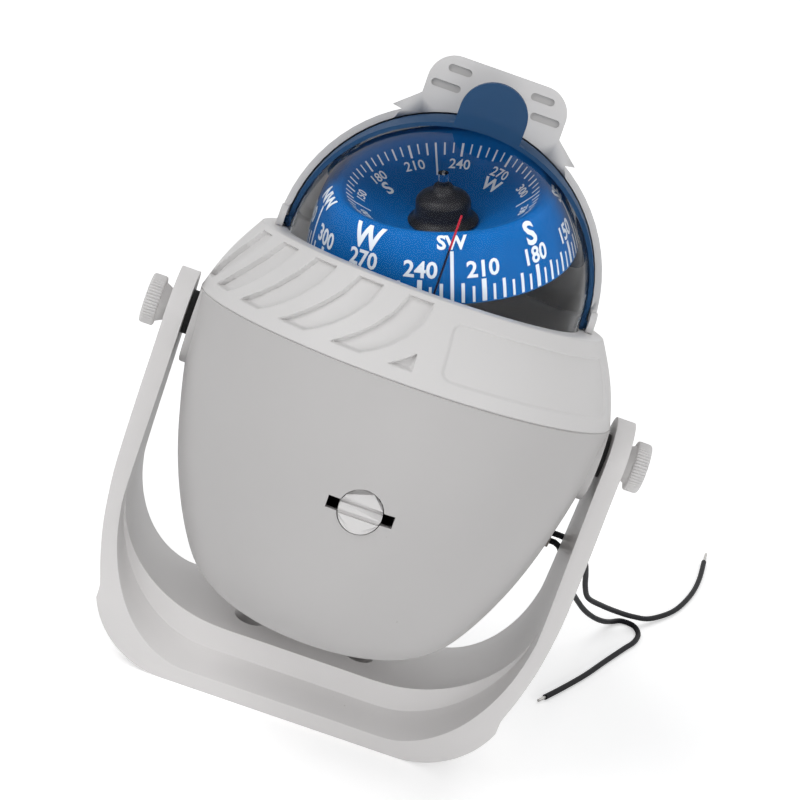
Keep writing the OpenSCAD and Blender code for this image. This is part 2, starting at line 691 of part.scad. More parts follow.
module pivot_post() {
    post_top = card_pivot_height - tine_w - cross_w;
    color("darkgray") in_capsule() difference() {
        union() {
            translate([0, 0, -bore_r]) cylinder(h = bore_r + post_top, r = post_r - face_gap);
            translate([-tine_w, -pin_reach, post_top - tine_t]) cube([tine_w * 2, pin_reach * 2, tine_t]);
            for (s = [-1, 1]) translate([-tine_w, s * (tine_in + tine_t / 2) - tine_t / 2, post_top - tine_t])
                cube([tine_w * 2, tine_t, card_pivot_height - post_top + tine_t]);
            translate([0, 0, card_pivot_height]) for (s = [-1, 1]) rotate([-90, 0, 0])
                translate([0, 0, s * (tine_in + tine_t / 2) - tine_t / 2]) cylinder(h = tine_t, r = tine_w);
        }
        translate([0, -pin_reach - cut, card_pivot_height]) rotate([-90, 0, 0])
            cylinder(h = (pin_reach + cut) * 2, r = pin_r + fit);
    }
}

module gimbal_cross() {
    half = cross_w / 2;
    color("goldenrod") in_capsule() translate([0, 0, card_pivot_height]) rotate([0, -card_heel, 0]) {
        translate([-half, -half, -half]) cube([cross_w, cross_w, cross_w]);
        rotate([-90, 0, 0]) translate([0, 0, -pin_reach]) cylinder(h = pin_reach * 2, r = pin_r);
        rotate([0, 90, 0]) translate([0, 0, -pin_reach]) cylinder(h = pin_reach * 2, r = pin_r);
    }
}

module card_cradle() {
    plate_z = cross_w + tine_w;
    color("silver") in_card() difference() {
        union() {
            translate([-pin_reach, -tine_w, plate_z]) cube([pin_reach * 2, tine_w * 2, tine_t]);
            for (s = [-1, 1]) translate([s * (tine_in + tine_t / 2) - tine_t / 2, -tine_w, 0])
                cube([tine_t, tine_w * 2, plate_z + tine_t]);
            for (s = [-1, 1]) rotate([0, 90, 0]) translate([0, 0, s * (tine_in + tine_t / 2) - tine_t / 2])
                cylinder(h = tine_t, r = tine_w);
        }
        rotate([0, 90, 0]) translate([0, 0, -pin_reach - cut]) cylinder(h = (pin_reach + cut) * 2, r = pin_r + fit);
    }
}

module pivot_needle() {
    foot = cross_w + tine_w + tine_t;
    color("gainsboro") in_card() translate([0, 0, foot])
        cylinder(h = needle_top - foot, r1 = pin_r, r2 = face_gap);
}

// Dished card: a steep outer band and an inner face that falls to the hub
function card_outline() = let (crest_r = card_r * crest_share, crest_z = card_height) [
    [card_r, 0], [card_r + (crest_r - card_r) * 0.5 + card_t / 3, crest_z * 0.52], [crest_r, crest_z],
    [crest_r - card_t * 0.6, crest_z + card_t * 0.3], [crest_r - card_t * 1.3, crest_z],
    [hub_flange_r + (crest_r - hub_flange_r) * 0.45, hub_seat + (crest_z - hub_seat) * 0.36],
    [hub_flange_r, hub_seat], [hub_flange_r, hub_seat - card_t],
    [hub_flange_r + (crest_r - hub_flange_r) * 0.45, hub_seat + (crest_z - hub_seat) * 0.36 - card_t],
    [crest_r - card_t * 1.5, crest_z - card_t * 1.4], [card_r - card_t, 0]];

module compass_card() {
    color([0.05, 0.4, 0.8]) in_card() rotate_extrude($fn = 96) polygon(card_outline());
}

module card_hub() {
    color([0.12, 0.12, 0.14]) in_card() difference() {
        rotate_extrude() polygon([[0, hub_seat - card_t], [hub_flange_r - face_gap, hub_seat - card_t],
            [hub_flange_r - face_gap, hub_seat + card_t / 2], [hub_r, hub_seat + card_t],
            [hub_r, hub_top - card_t], [hub_r - card_t, hub_top], [post_r, hub_top + card_t],
            [post_r, hub_top + card_t * 3], [0, hub_top + card_t * 3]]);
        // Room for the cradle and the needle
        translate([0, 0, -cut]) cylinder(h = hub_top - card_t * 2 + cut, r = hub_r - card_t);
        // Seat of the jewel
        translate([0, 0, needle_top - card_t]) cylinder(h = card_t * 2, r = jewel_r);
        // Seat of the clear post
        translate([0, 0, hub_top + card_t]) cylinder(h = card_t * 3, r = post_r * 0.7);
    }
}

module jewel_cup() {
    color("firebrick") in_card() translate([0, 0, needle_top - card_t * 0.9]) difference() {
        cylinder(h = card_t * 1.9, r = jewel_r);
        translate([0, 0, -face_gap]) cylinder(h = card_t + face_gap * 2, r1 = jewel_r * 0.75, r2 = pin_r);
    }
}

module card_post() {
    color([0.8, 0.85, 0.9, 0.5]) in_card() translate([0, 0, hub_top + card_t])
        cylinder(h = card_t * 5, r = post_r * 0.7);
}

// Height of the card's underside at a radius between the hub and the crest
function card_under(r) = let (crest_r = card_r * crest_share, mid_r = hub_flange_r + (crest_r - hub_flange_r) * 0.45,
    mid_z = hub_seat + (card_height - hub_seat) * 0.36 - card_t, end_r = crest_r - card_t * 1.5)
    r < mid_r ? hub_seat - card_t + (mid_z - hub_seat + card_t) * (r - hub_flange_r) / (mid_r - hub_flange_r)
              : mid_z + (card_height - card_t * 1.4 - mid_z) * (r - mid_r) / (end_r - mid_r);

module card_float() {
    inner = card_r * 0.45;
    middle = hub_flange_r + (card_r * crest_share - hub_flange_r) * 0.45;
    outer = card_r * 0.78;
    color("ivory") in_card() rotate_extrude() polygon([[inner, card_t], [outer, card_t],
        [outer, card_under(outer) - face_gap], [middle, card_under(middle) - face_gap],
        [inner, card_under(inner) - face_gap]]);
}

module card_magnets() {
    bar_r = gimbal_w * 0.5;
    bar_len = card_r * 0.7;
    color("slategray") in_card() for (s = [-1, 1])
        translate([s * card_r * 0.55, -bar_len / 2, card_t - bar_r - face_gap])
            rotate([-90, 0, 0]) cylinder(h = bar_len, r = bar_r);
}

module compensator_plug() {
    rib = plug_r * 0.16;
    color("white") in_housing() translate([0, -plug_front, -plug_drop]) difference() {
        rotate([-90, 0, 0]) cylinder(h = plug_len, r = plug_r);
        // Two grooves either side of the middle bar
        for (s = [-1, 1]) translate([-plug_r * 2, -cut, s * rib * 1.6 - rib / 2])
            cube([plug_r * 4, cut + rib, rib]);
        // Bore for the magnet
        translate([-plug_r * 2, plug_len - magnet_r * 2, 0]) rotate([0, 90, 0])
            cylinder(h = plug_r * 4, r = magnet_r);
    }
}

module compensator_magnet() {
    half_len = plug_r - shell_gap;
    color("slategray") in_housing()
        translate([-half_len, plug_len - plug_front - magnet_r * 2, -plug_drop])
            rotate([0, 90, 0]) cylinder(h = half_len * 2, r = magnet_r - face_gap);
}

module lamp_holder() {
    flange_x = seam_r * 0.86;
    color([0.85, 0.82, 0.74]) in_housing() translate([0, holder_y, holder_z]) rotate([0, 90, 0]) difference() {
        union() {
            translate([0, 0, holder_foot]) cylinder(h = flange_x - holder_foot, r = holder_r);
            translate([0, 0, flange_x]) cylinder(h = shell_wall, r = holder_neck_r + shell_wall / 2);
            translate([0, 0, flange_x + shell_wall])
                cylinder(h = holder_end - flange_x - shell_wall, r = holder_neck_r);
        }
        translate([0, 0, holder_foot - cut]) cylinder(h = shell_wall * 3 + cut, r = holder_r - shell_wall / 2);
    }
}

module lamp() {
    lamp_r = holder_r * 0.55;
    lamp_len = holder_d * 0.62;
    color([0.95, 0.95, 0.9, 0.7]) in_housing()
        translate([holder_foot + shell_wall * 3 - lamp_len, holder_y, holder_z]) rotate([0, 90, 0]) {
            cylinder(h = lamp_len, r = lamp_r);
            sphere(r = lamp_r);
        }
}

// Turns a point of the housing frame into the bracket's frame
function from_housing(p) = [p[0], p[1] * cos(housing_tilt) + p[2] * sin(housing_tilt),
    pivot_height - p[1] * sin(housing_tilt) + p[2] * cos(housing_tilt)];

function unit(v) = v / norm(v);

// Rings of a tube round a line of points
function tube_rings(line, r, sides) = [for (i = [0 : len(line) - 1])
    let (a = line[max(i - 1, 0)], b = line[min(i + 1, len(line) - 1)], t = unit(b - a),
         side = unit(cross(t, [0.13, 0.29, 1])), top = cross(side, t))
    each [for (k = [0 : sides - 1]) let (w = 360 * k / sides) line[i] + (side * cos(w) + top * sin(w)) * r]];

function tube_faces(rings, sides) = concat(
    [[for (k = [0 : sides - 1]) k]],
    [for (i = [0 : rings - 2], k = [0 : sides - 1]) let (j = (k + 1) % sides)
        each [[i * sides + k, (i + 1) * sides + j, i * sides + j],
              [i * sides + k, (i + 1) * sides + k, (i + 1) * sides + j]]],
    [[for (k = [sides - 1 : -1 : 0]) (rings - 1) * sides + k]]);

// Smooth line through a route, with steps points in each span
function spline(p, steps) = concat([for (i = [0 : len(p) - 2], s = [0 : steps - 1])
    let (a = p[max(i - 1, 0)], b = p[i], c = p[i + 1], d = p[min(i + 2, len(p) - 1)], t = s / steps)
    (b * 2 + (c - a) * t + (a * 2 - b * 5 + c * 4 - d) * t * t + (b * 3 - a - c * 3 + d) * t * t * t) / 2],
    [p[len(p) - 1]]);

// A lead leaves its holder straight, then follows its route
module lead(route, rise) {
    start = from_housing([holder_end, holder_y, holder_z]) + [face_gap, 0, rise];
    line = concat([start], spline(concat([start + [lead_d, 0, 0]], route), 2));
    color([0.08, 0.08, 0.09]) polyhedron(tube_rings(line, lead_d / 2, 8), tube_faces(len(line), 8), convexity = 8);
}

module lead_a() lead(route_a, lead_offset);
module lead_b() lead(route_b, -lead_offset);

module lead_tip(route, tip_len) {
    last = route[len(route) - 1];
    along = unit(last - route[len(route) - 2]);
    heading = atan2(along[1], along[0]);
    color("silver") translate(last) rotate([0, 0, heading]) rotate([0, 90, 0])
        translate([0, 0, face_gap]) cylinder(h = tip_len, r = tip_d / 2, $fn = 16);
}

module lead_a_tip() lead_tip(route_a, tip_a_len);
module lead_b_tip() lead_tip(route_b, tip_b_len);

bracket();
left_knob();
left_stud();
right_knob();
right_stud();
friction_washers();
pivot_inserts();
lower_housing();
trim_ring();
sun_hood();
sun_shade();
capsule_dome();
capsule_gasket();
capsule_bowl();
lubber_line();
filler_screw();
expansion_diaphragm();
diaphragm_ring();
pivot_post();
gimbal_cross();
card_cradle();
pivot_needle();
compass_card();
card_hub();
card_post();
jewel_cup();
card_float();
card_magnets();
compensator_plug();
compensator_magnet();
lamp_holder();
lamp();
lead_a();
lead_b();
lead_a_tip();
lead_b_tip();
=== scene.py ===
"""Marine compass on a tilting bracket: surfaces, printed card, leads, studio and camera."""
import json
import math

import bpy
from bpy.props import FloatProperty, FloatVectorProperty, IntProperty, PointerProperty
from mathutils import Matrix, Vector

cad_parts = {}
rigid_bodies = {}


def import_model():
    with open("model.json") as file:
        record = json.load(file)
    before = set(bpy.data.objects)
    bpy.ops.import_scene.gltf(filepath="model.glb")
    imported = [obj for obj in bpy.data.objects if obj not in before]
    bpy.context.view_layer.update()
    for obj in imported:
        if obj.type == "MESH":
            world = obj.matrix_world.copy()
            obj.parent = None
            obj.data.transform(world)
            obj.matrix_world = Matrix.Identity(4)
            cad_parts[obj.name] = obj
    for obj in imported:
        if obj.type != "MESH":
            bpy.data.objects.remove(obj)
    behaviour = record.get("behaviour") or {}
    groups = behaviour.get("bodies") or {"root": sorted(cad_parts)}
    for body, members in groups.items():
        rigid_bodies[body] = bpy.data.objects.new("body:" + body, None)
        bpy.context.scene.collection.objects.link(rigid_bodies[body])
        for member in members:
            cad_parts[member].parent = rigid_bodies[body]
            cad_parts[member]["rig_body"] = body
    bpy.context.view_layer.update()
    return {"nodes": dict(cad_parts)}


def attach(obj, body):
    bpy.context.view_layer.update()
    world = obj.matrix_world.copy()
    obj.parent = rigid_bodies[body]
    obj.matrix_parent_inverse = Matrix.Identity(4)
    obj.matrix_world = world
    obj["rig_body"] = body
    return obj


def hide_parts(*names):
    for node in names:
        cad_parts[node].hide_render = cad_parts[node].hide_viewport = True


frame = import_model()

bl_info = {
    "name": "Marine compass",
    "version": (1, 0, 0),
    "blender": (4, 5, 0),
    "location": "3D View > Sidebar > Compass",
    "description": "Dresses the solids of a bracket-mounted marine compass",
    "category": "Object",
}

MM = 0.001
PIVOT_HEIGHT = 83.486
HOUSING_TILT = math.radians(13.3)
DOME_HEIGHT = 27.5
CARD_PIVOT = 4.2
CARD_HEEL = math.radians(19.2)
CARD_DIP = math.radians(17.9)

LEAD_A = [
    (52, 15.5, 54.1), (55.5, 17, 52.8), (58.5, 22.5, 48.5), (61.3, 31, 42.5), (64, 42, 35),
    (67, 55, 26), (71, 69, 17), (77.2, 80.6, 11), (83.2, 89.9, 6.6), (88.8, 97.0, 3.6), (94.8, 104.2, 1.5),
    (102.3, 116.1, 0.8), (107.7, 130.3, 0.8), (110.9, 143.8, 0.8), (112.9, 158.3, 0.8),
]
LEAD_B = [
    (51.6, 15.8, 51.1), (52.8, 17.2, 48.7), (53.4, 19.8, 45.4), (54.8, 24.8, 41.4), (58, 33, 35.8),
    (62, 44, 29.0), (66, 56, 21.6), (71, 68, 13.8), (76, 79, 7.6), (80.2, 88, 3.4), (83.2, 94.2, 1.2),
    (86.4, 97.8, 0.8), (90, 97.4, 0.8), (91.4, 93.2, 0.8), (90.2, 87.4, 0.8), (87.2, 81, 0.8),
    (81.8, 69.5, 0.8), (76.2, 57.3, 0.8), (70, 45.4, 0.8), (65.5, 37.3, 0.8),
]
LEAD_EXIT = (48.5, 22, -25.9504)
LEAD_RISE = 1.08


def colour_property(name, description, default):
    return FloatVectorProperty(name=name, description=description, subtype="COLOR", size=3, default=default)


class CompassColours(bpy.types.PropertyGroup):
    white: colour_property("White mouldings", "Colour of the bracket and the housing", (0.71, 0.695, 0.69))
    trim: colour_property("Trim", "Colour of the trim ring, the hood and the knobs", (0.65, 0.64, 0.636))
    card: colour_property("Card", "Blue of the printed card", (0.0, 0.078, 0.265))
    print: colour_property("Print", "White of the graduations", (0.6, 0.65, 0.7))
    # The sun shade's dark blue is partly painted shade: it stands for the shaded hollow between the dome and
    # the hood, lit blue by the card.
    shade: colour_property("Shade", "Tint of the swinging shade", (0.028, 0.085, 0.19))
    lead: colour_property("Lead", "Colour of the lead insulation", (0.004, 0.004, 0.006))


class CompassSizes(bpy.types.PropertyGroup):
    lead_diameter: FloatProperty(name="Lead diameter", description="Diameter over the insulation",
                                 default=0.0015, unit="LENGTH", precision=5)
    tick_lift: FloatProperty(name="Print height", description="How far the print stands on the card",
                             default=0.00012, unit="LENGTH", precision=6)
    letter_height: FloatProperty(name="Letter height", description="Height of the cardinal letters",
                                 default=0.0051, unit="LENGTH", precision=5)
    number_height: FloatProperty(name="Number height", description="Height of the numbers",
                                 default=0.0036, unit="LENGTH", precision=5)
    knurls: IntProperty(name="Knurls", description="Ridges round a thumbscrew", default=48, min=24, max=96)


# Places in the object

def housing_matrix():
    return Matrix.Translation((0, 0, PIVOT_HEIGHT * MM)) @ Matrix.Rotation(-HOUSING_TILT, 4, "X")


def capsule_matrix():
    return housing_matrix() @ Matrix.Translation((0, 0, DOME_HEIGHT * MM))


def card_matrix():
    return (capsule_matrix() @ Matrix.Translation((0, 0, CARD_PIVOT * MM))
            @ Matrix.Rotation(-CARD_HEEL, 4, "Y") @ Matrix.Rotation(CARD_DIP, 4, "X"))


def housing_point(x, y, z):
    return housing_matrix() @ Vector((x * MM, y * MM, z * MM))


# Small helpers

def deselect():
    if bpy.context.object and bpy.context.object.mode != "OBJECT":
        bpy.ops.object.mode_set(mode="OBJECT")
    bpy.ops.object.select_all(action="DESELECT")


def pick(piece):
    deselect()
    piece.select_set(True)
    bpy.context.view_layer.objects.active = piece


def open_mesh(piece):
    """Goes into edit mode, with all of the piece selected."""
    pick(piece)
    bpy.ops.object.mode_set(mode="EDIT")
    bpy.ops.mesh.select_all(action="SELECT")


def close_mesh():
    bpy.ops.object.mode_set(mode="OBJECT")


def settle(piece, matrix=None):
    """Moves a piece's place into its mesh, so that its object sits at the origin."""
    if matrix is not None:
        piece.matrix_world = matrix @ piece.matrix_world
    pick(piece)
    bpy.ops.object.transform_apply(location=True, rotation=True, scale=True)


def smooth(piece, angle=30.0):
    pick(piece)
    bpy.ops.object.shade_smooth_by_angle(angle=math.radians(angle))


def give(piece, material):
    piece.data.materials.clear()
    piece.data.materials.append(material)


def copy_node(name, label, material):
    """A smooth-shaded copy that stands for the node."""
    node = frame["nodes"][name]
    piece = bpy.data.objects.new(label, node.data.copy())
    bpy.context.scene.collection.objects.link(piece)
    open_mesh(piece)
    bpy.ops.mesh.remove_doubles(threshold=0.000001)
    close_mesh()
    smooth(piece)
    give(piece, material)
    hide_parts(name)
    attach(piece, node["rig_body"])


# Materials

def put(node, values):
    for name, value in values.items():
        node.inputs[name].default_value = value


def noise(nodes, links, where, scale, detail=2):
    """A noise texture on Object coordinates."""
    texture = nodes.new("ShaderNodeTexNoise")
    put(texture, {"Scale": scale, "Detail": detail})
    links.new(where.outputs["Object"], texture.inputs["Vector"])
    return texture


def stretch(nodes, links, value, start=0.0, end=1.0, low=0.0, high=1.0):
    """Maps a socket's range from start and end to low and high."""
    spread = nodes.new("ShaderNodeMapRange")
    put(spread, {"From Min": start, "From Max": end, "To Min": low, "To Max": high})
    links.new(value, spread.inputs["Value"])
    return spread


def colour_mix(nodes, links, factor, first=None, second=None):
    """Mixes two colours; a colour that is left out is linked by the caller."""
    mix = nodes.new("ShaderNodeMix")
    mix.data_type = "RGBA"
    for name, colour in (("A", first), ("B", second)):
        if colour is not None:
            mix.inputs[name].default_value = (*colour, 1)
    links.new(factor, mix.inputs["Factor"])
    return mix


def math_node(nodes, links, operation, first, second):
    """A Math node on two values, each a socket or a number."""
    node = nodes.new("ShaderNodeMath")
    node.operation = operation
    for slot, value in enumerate((first, second)):
        if isinstance(value, (int, float)):
            node.inputs[slot].default_value = value
        else:
            links.new(value, node.inputs[slot])
    return node


def moulded_group():
    """Moulded plastic: a fine satin grain, soft cloudy tone and stray dust specks."""
    group = bpy.data.node_groups.get("Moulded plastic")
    if group:
        return group
    group = bpy.data.node_groups.new("Moulded plastic", "ShaderNodeTree")
    for name, kind, default in (
        ("Base", "NodeSocketColor", (0.8, 0.8, 0.8, 1)), ("Shade", "NodeSocketColor", (0.7, 0.7, 0.7, 1)),
        ("Dust", "NodeSocketFloat", 0.3), ("Gloss", "NodeSocketFloat", 0.4),
    ):
        group.interface.new_socket(name=name, in_out="INPUT", socket_type=kind).default_value = default
    for name, kind in (
        ("Colour", "NodeSocketColor"), ("Roughness", "NodeSocketFloat"), ("Height", "NodeSocketFloat"),
    ):
        group.interface.new_socket(name=name, in_out="OUTPUT", socket_type=kind)
    nodes, links = group.nodes, group.links
    enter = nodes.new("NodeGroupInput")
    leave = nodes.new("NodeGroupOutput")
    where = nodes.new("ShaderNodeTexCoord")

    # Cloudy tone
    cloud = noise(nodes, links, where, 28, 5)
    tone = stretch(nodes, links, cloud.outputs["Fac"], 0.42, 0.72, high=0.35)
    toned = colour_mix(nodes, links, tone.outputs["Result"])
    links.new(enter.outputs["Base"], toned.inputs["A"])
    links.new(enter.outputs["Shade"], toned.inputs["B"])

    # Stray dust: small dots, only where a second noise is high
    specks = nodes.new("ShaderNodeTexVoronoi")
    specks.inputs["Scale"].default_value = 240
    links.new(where.outputs["Object"], specks.inputs["Vector"])
    spot = stretch(nodes, links, specks.outputs["Distance"], 0.035, 0.075, 1, 0)
    sparse = noise(nodes, links, where, 90)
    few = stretch(nodes, links, sparse.outputs["Fac"], 0.6, 0.66)
    both = math_node(nodes, links, "MULTIPLY", spot.outputs["Result"], few.outputs["Result"])
    amount = math_node(nodes, links, "MULTIPLY", both.outputs["Value"], enter.outputs["Dust"])
    dusty = colour_mix(nodes, links, amount.outputs["Value"], second=(0.16, 0.14, 0.12))
    links.new(toned.outputs["Result"], dusty.inputs["A"])
    links.new(dusty.outputs["Result"], leave.inputs["Colour"])

    # Grain and uneven gloss
    grain = noise(nodes, links, where, 2600)
    links.new(grain.outputs["Fac"], leave.inputs["Height"])
    rough = stretch(nodes, links, cloud.outputs["Fac"], 0.3, 0.7)
    more = math_node(nodes, links, "ADD", enter.outputs["Gloss"], 0.1)
    links.new(enter.outputs["Gloss"], rough.inputs["To Min"])
    links.new(more.outputs["Value"], rough.inputs["To Max"])
    links.new(rough.outputs["Result"], leave.inputs["Roughness"])
    return group


def times(colour, share):
    return tuple(c * share for c in colour)


def new_material(name):
    material = bpy.data.materials.new(name)
    material.use_nodes = True
    shader = material.node_tree.nodes["Principled BSDF"]
    return material, material.node_tree.nodes, material.node_tree.links, shader


def moulded(name, base, shade, dust, gloss):
    """White or grey moulded plastic."""
    material, nodes, links, shader = new_material(name)
    surface = nodes.new("ShaderNodeGroup")
    surface.node_tree = moulded_group()
    put(surface, {"Base": (*base, 1), "Shade": (*shade, 1), "Dust": dust, "Gloss": gloss})
    links.new(surface.outputs["Colour"], shader.inputs["Base Color"])
    links.new(surface.outputs["Roughness"], shader.inputs["Roughness"])
    relief = nodes.new("ShaderNodeBump")
    put(relief, {"Strength": 0.05, "Distance": 0.0001})
    links.new(surface.outputs["Height"], relief.inputs["Height"])
    links.new(relief.outputs["Normal"], shader.inputs["Normal"])
    return material


def metal(name, colour, roughness):
    """Turned or drawn metal with fine marks."""
    material, nodes, links, shader = new_material(name)
    where = nodes.new("ShaderNodeTexCoord")
    marks = noise(nodes, links, where, 900, 3)
    spread = stretch(nodes, links, marks.outputs["Fac"], low=roughness - 0.08, high=roughness + 0.12)
    links.new(spread.outputs["Result"], shader.inputs["Roughness"])
    tint = colour_mix(nodes, links, marks.outputs["Fac"], colour, times(colour, 0.7))
    links.new(tint.outputs["Result"], shader.inputs["Base Color"])
    shader.inputs["Metallic"].default_value = 1
    return material


def dark_plastic(name, colour, roughness, shine=0.5):
    """Dark plastic or rubber, a little worn and dusty; parts in the fluid shine less."""
    material, nodes, links, shader = new_material(name)
    shader.inputs["Specular IOR Level"].default_value = shine
    where = nodes.new("ShaderNodeTexCoord")
    wear = noise(nodes, links, where, 420, 4)
    worn = [min(1, c * 1.25 + 0.004) for c in colour]
    tint = colour_mix(nodes, links, wear.outputs["Fac"], colour, worn)
    links.new(tint.outputs["Result"], shader.inputs["Base Color"])
    spread = stretch(nodes, links, wear.outputs["Fac"], low=roughness - 0.08, high=roughness + 0.08)
    links.new(spread.outputs["Result"], shader.inputs["Roughness"])
    return material


def clear(name, colour, ior, roughness=0.0):
    """Clear plastic that lets the lamps light what is inside."""
    material, nodes, links, shader = new_material(name)
    put(shader, {"Base Color": (*colour, 1), "Roughness": roughness, "IOR": ior, "Transmission Weight": 1})
    out = nodes["Material Output"]
    path = nodes.new("ShaderNodeLightPath")
    see_through = nodes.new("ShaderNodeBsdfTransparent")
    see_through.inputs["Color"].default_value = (*colour, 1)
    mix = nodes.new("ShaderNodeMixShader")
    links.new(path.outputs["Is Shadow Ray"], mix.inputs["Fac"])
    links.new(shader.outputs["BSDF"], mix.inputs[1])
    links.new(see_through.outputs["BSDF"], mix.inputs[2])
    links.new(mix.outputs["Shader"], out.inputs["Surface"])
    return material


MATERIALS = {}


def make_materials():
    colours = bpy.context.scene.compass_colours
    white, trim, ink = tuple(colours.white), tuple(colours.trim), tuple(colours.print)
    grey = times(white, 0.93)
    MATERIALS.update({
        # name, base, shade, dust, gloss
        "white": moulded("White moulding", white, grey, 0.25, 0.34),
        # The housing takes the white moulding darkened to 0.7 times: painted shade, so that its front reads
        # darker than the bracket under the same lamps.
        "shell": moulded("Housing moulding in painted shade", times(white, 0.7), times(white, 0.65), 0.25, 0.34),
        "trim": moulded("Trim moulding", trim, times(trim, 0.96), 0.1, 0.32),
        # The slot floors take the trim's colour darkened to 0.68 times: painted shade at the bottom of the
        # finger recesses.
        "trim_in_painted_shade": moulded("Slot floor moulding in painted shade", times(trim, 0.68), times(trim, 0.62), 0.2, 0.4),
        "knob": moulded("Knob moulding", trim, grey, 0.2, 0.4),
        "beige": moulded("Beige moulding", (0.42, 0.39, 0.35), (0.34, 0.31, 0.28), 0.3, 0.5),
        "float": moulded("Float foam", (0.75, 0.74, 0.7), (0.66, 0.65, 0.6), 0.1, 0.7),
        "print": moulded("White print", ink, times(ink, 0.95), 0, 0.5),
        # name, colour, roughness
        "steel": metal("Stainless steel", (0.62, 0.61, 0.6), 0.32),
        "brass": metal("Turned brass", (0.72, 0.52, 0.24), 0.3),
        "tin": metal("Tinned wire", (0.66, 0.65, 0.63), 0.35),
        "magnet": metal("Plated magnet", (0.32, 0.33, 0.35), 0.3),
        # name, colour, roughness, shine
        "rubber": dark_plastic("Black rubber", (0.018, 0.018, 0.018), 0.7),
        "lead": dark_plastic("Lead insulation", tuple(colours.lead), 0.45, 0.12),
        "hub": dark_plastic("Hub plastic", (0.008, 0.008, 0.01), 0.35, 0.2),
        "bowl": dark_plastic("Bowl plastic", (0.035, 0.028, 0.026), 0.5, 0.1),
        "card": dark_plastic("Card print", tuple(colours.card), 0.45, 0.08),
        "red": dark_plastic("Red paint", (0.4, 0.02, 0.02), 0.4, 0.1),
        # name, colour, refraction, roughness
        "dome": clear("Clear dome", (0.985, 0.99, 0.995), 1.16),
        "clear": clear("Clear pin", (0.9, 0.94, 0.97), 1.45, 0.08),
        # name, upper colour, lower colour, height of the border in metres
        "lubber": two_tone("Lubber paint", (0.34, 0.015, 0.03), (0.006, 0.006, 0.02), 0.1248),
        # The sun shade is a real swinging part; its dark blue is partly painted shade for the shaded hollow
        # behind the dome.
        "shade": tinted("Sun shade tint and painted shade", tuple(colours.shade)),
    })


def two_tone(name, upper, lower, border):
    """Paint whose colour changes at a height, over a soft edge."""
    material, nodes, links, shader = new_material(name)
    put(shader, {"Specular IOR Level": 0.1, "Roughness": 0.4})
    where = nodes.new("ShaderNodeTexCoord")
    split = nodes.new("ShaderNodeSeparateXYZ")
    links.new(where.outputs["Object"], split.inputs["Vector"])
    edge = stretch(nodes, links, split.outputs["Z"], border - 0.0004, border + 0.0004)
    paint = colour_mix(nodes, links, edge.outputs["Result"], lower, upper)
    links.new(paint.outputs["Result"], shader.inputs["Base Color"])
    return material


def tinted(name, colour):
    """Translucent tinted plastic: part of the light goes straight through. On the sun shade its dark blue is
    partly painted shade.
    """
    material, nodes, links, shader = new_material(name)
    where = nodes.new("ShaderNodeTexCoord")
    cloud = noise(nodes, links, where, 60)
    tint = colour_mix(nodes, links, cloud.outputs["Fac"], colour, times(colour, 0.85))
    links.new(tint.outputs["Result"], shader.inputs["Base Color"])
    put(shader, {"Roughness": 0.4, "IOR": 1.12, "Alpha": 0.86})
    return material


FLOOR_LIFT = 0.42
WORLD_LIGHT = (0.33, 0.332, 0.336)  # the camera sees white
# Name, place in metres, size in metres, watts
LAMPS = (
    ("key", (-0.95, -0.5, 1.25), 0.9, 9.5),
    ("right", (1.1, -0.8, 0.25), 0.9, 6.5),
    ("left", (-1.0, -0.9, 0.15), 0.9, 2.8),
    ("low", (0.2, -1.2, 0.1), 0.5, 3.4),
    ("back", (0.3, 0.9, 1.1), 0.8, 4),
)
LAMP_AIM = Vector((0, 0, 0.08))
CAMERA_ANGLES = (-2.5, 21, 20.1)  # azimuth, elevation and roll in degrees
CAMERA_DISTANCE = 0.6
PICTURE_SIDE = 800  # the lens and the shifts are in pixels of this picture
FOCAL_PIXELS = 2585.0
SHIFT_PIXELS = (3.6, -16.5)
SENSOR = 36


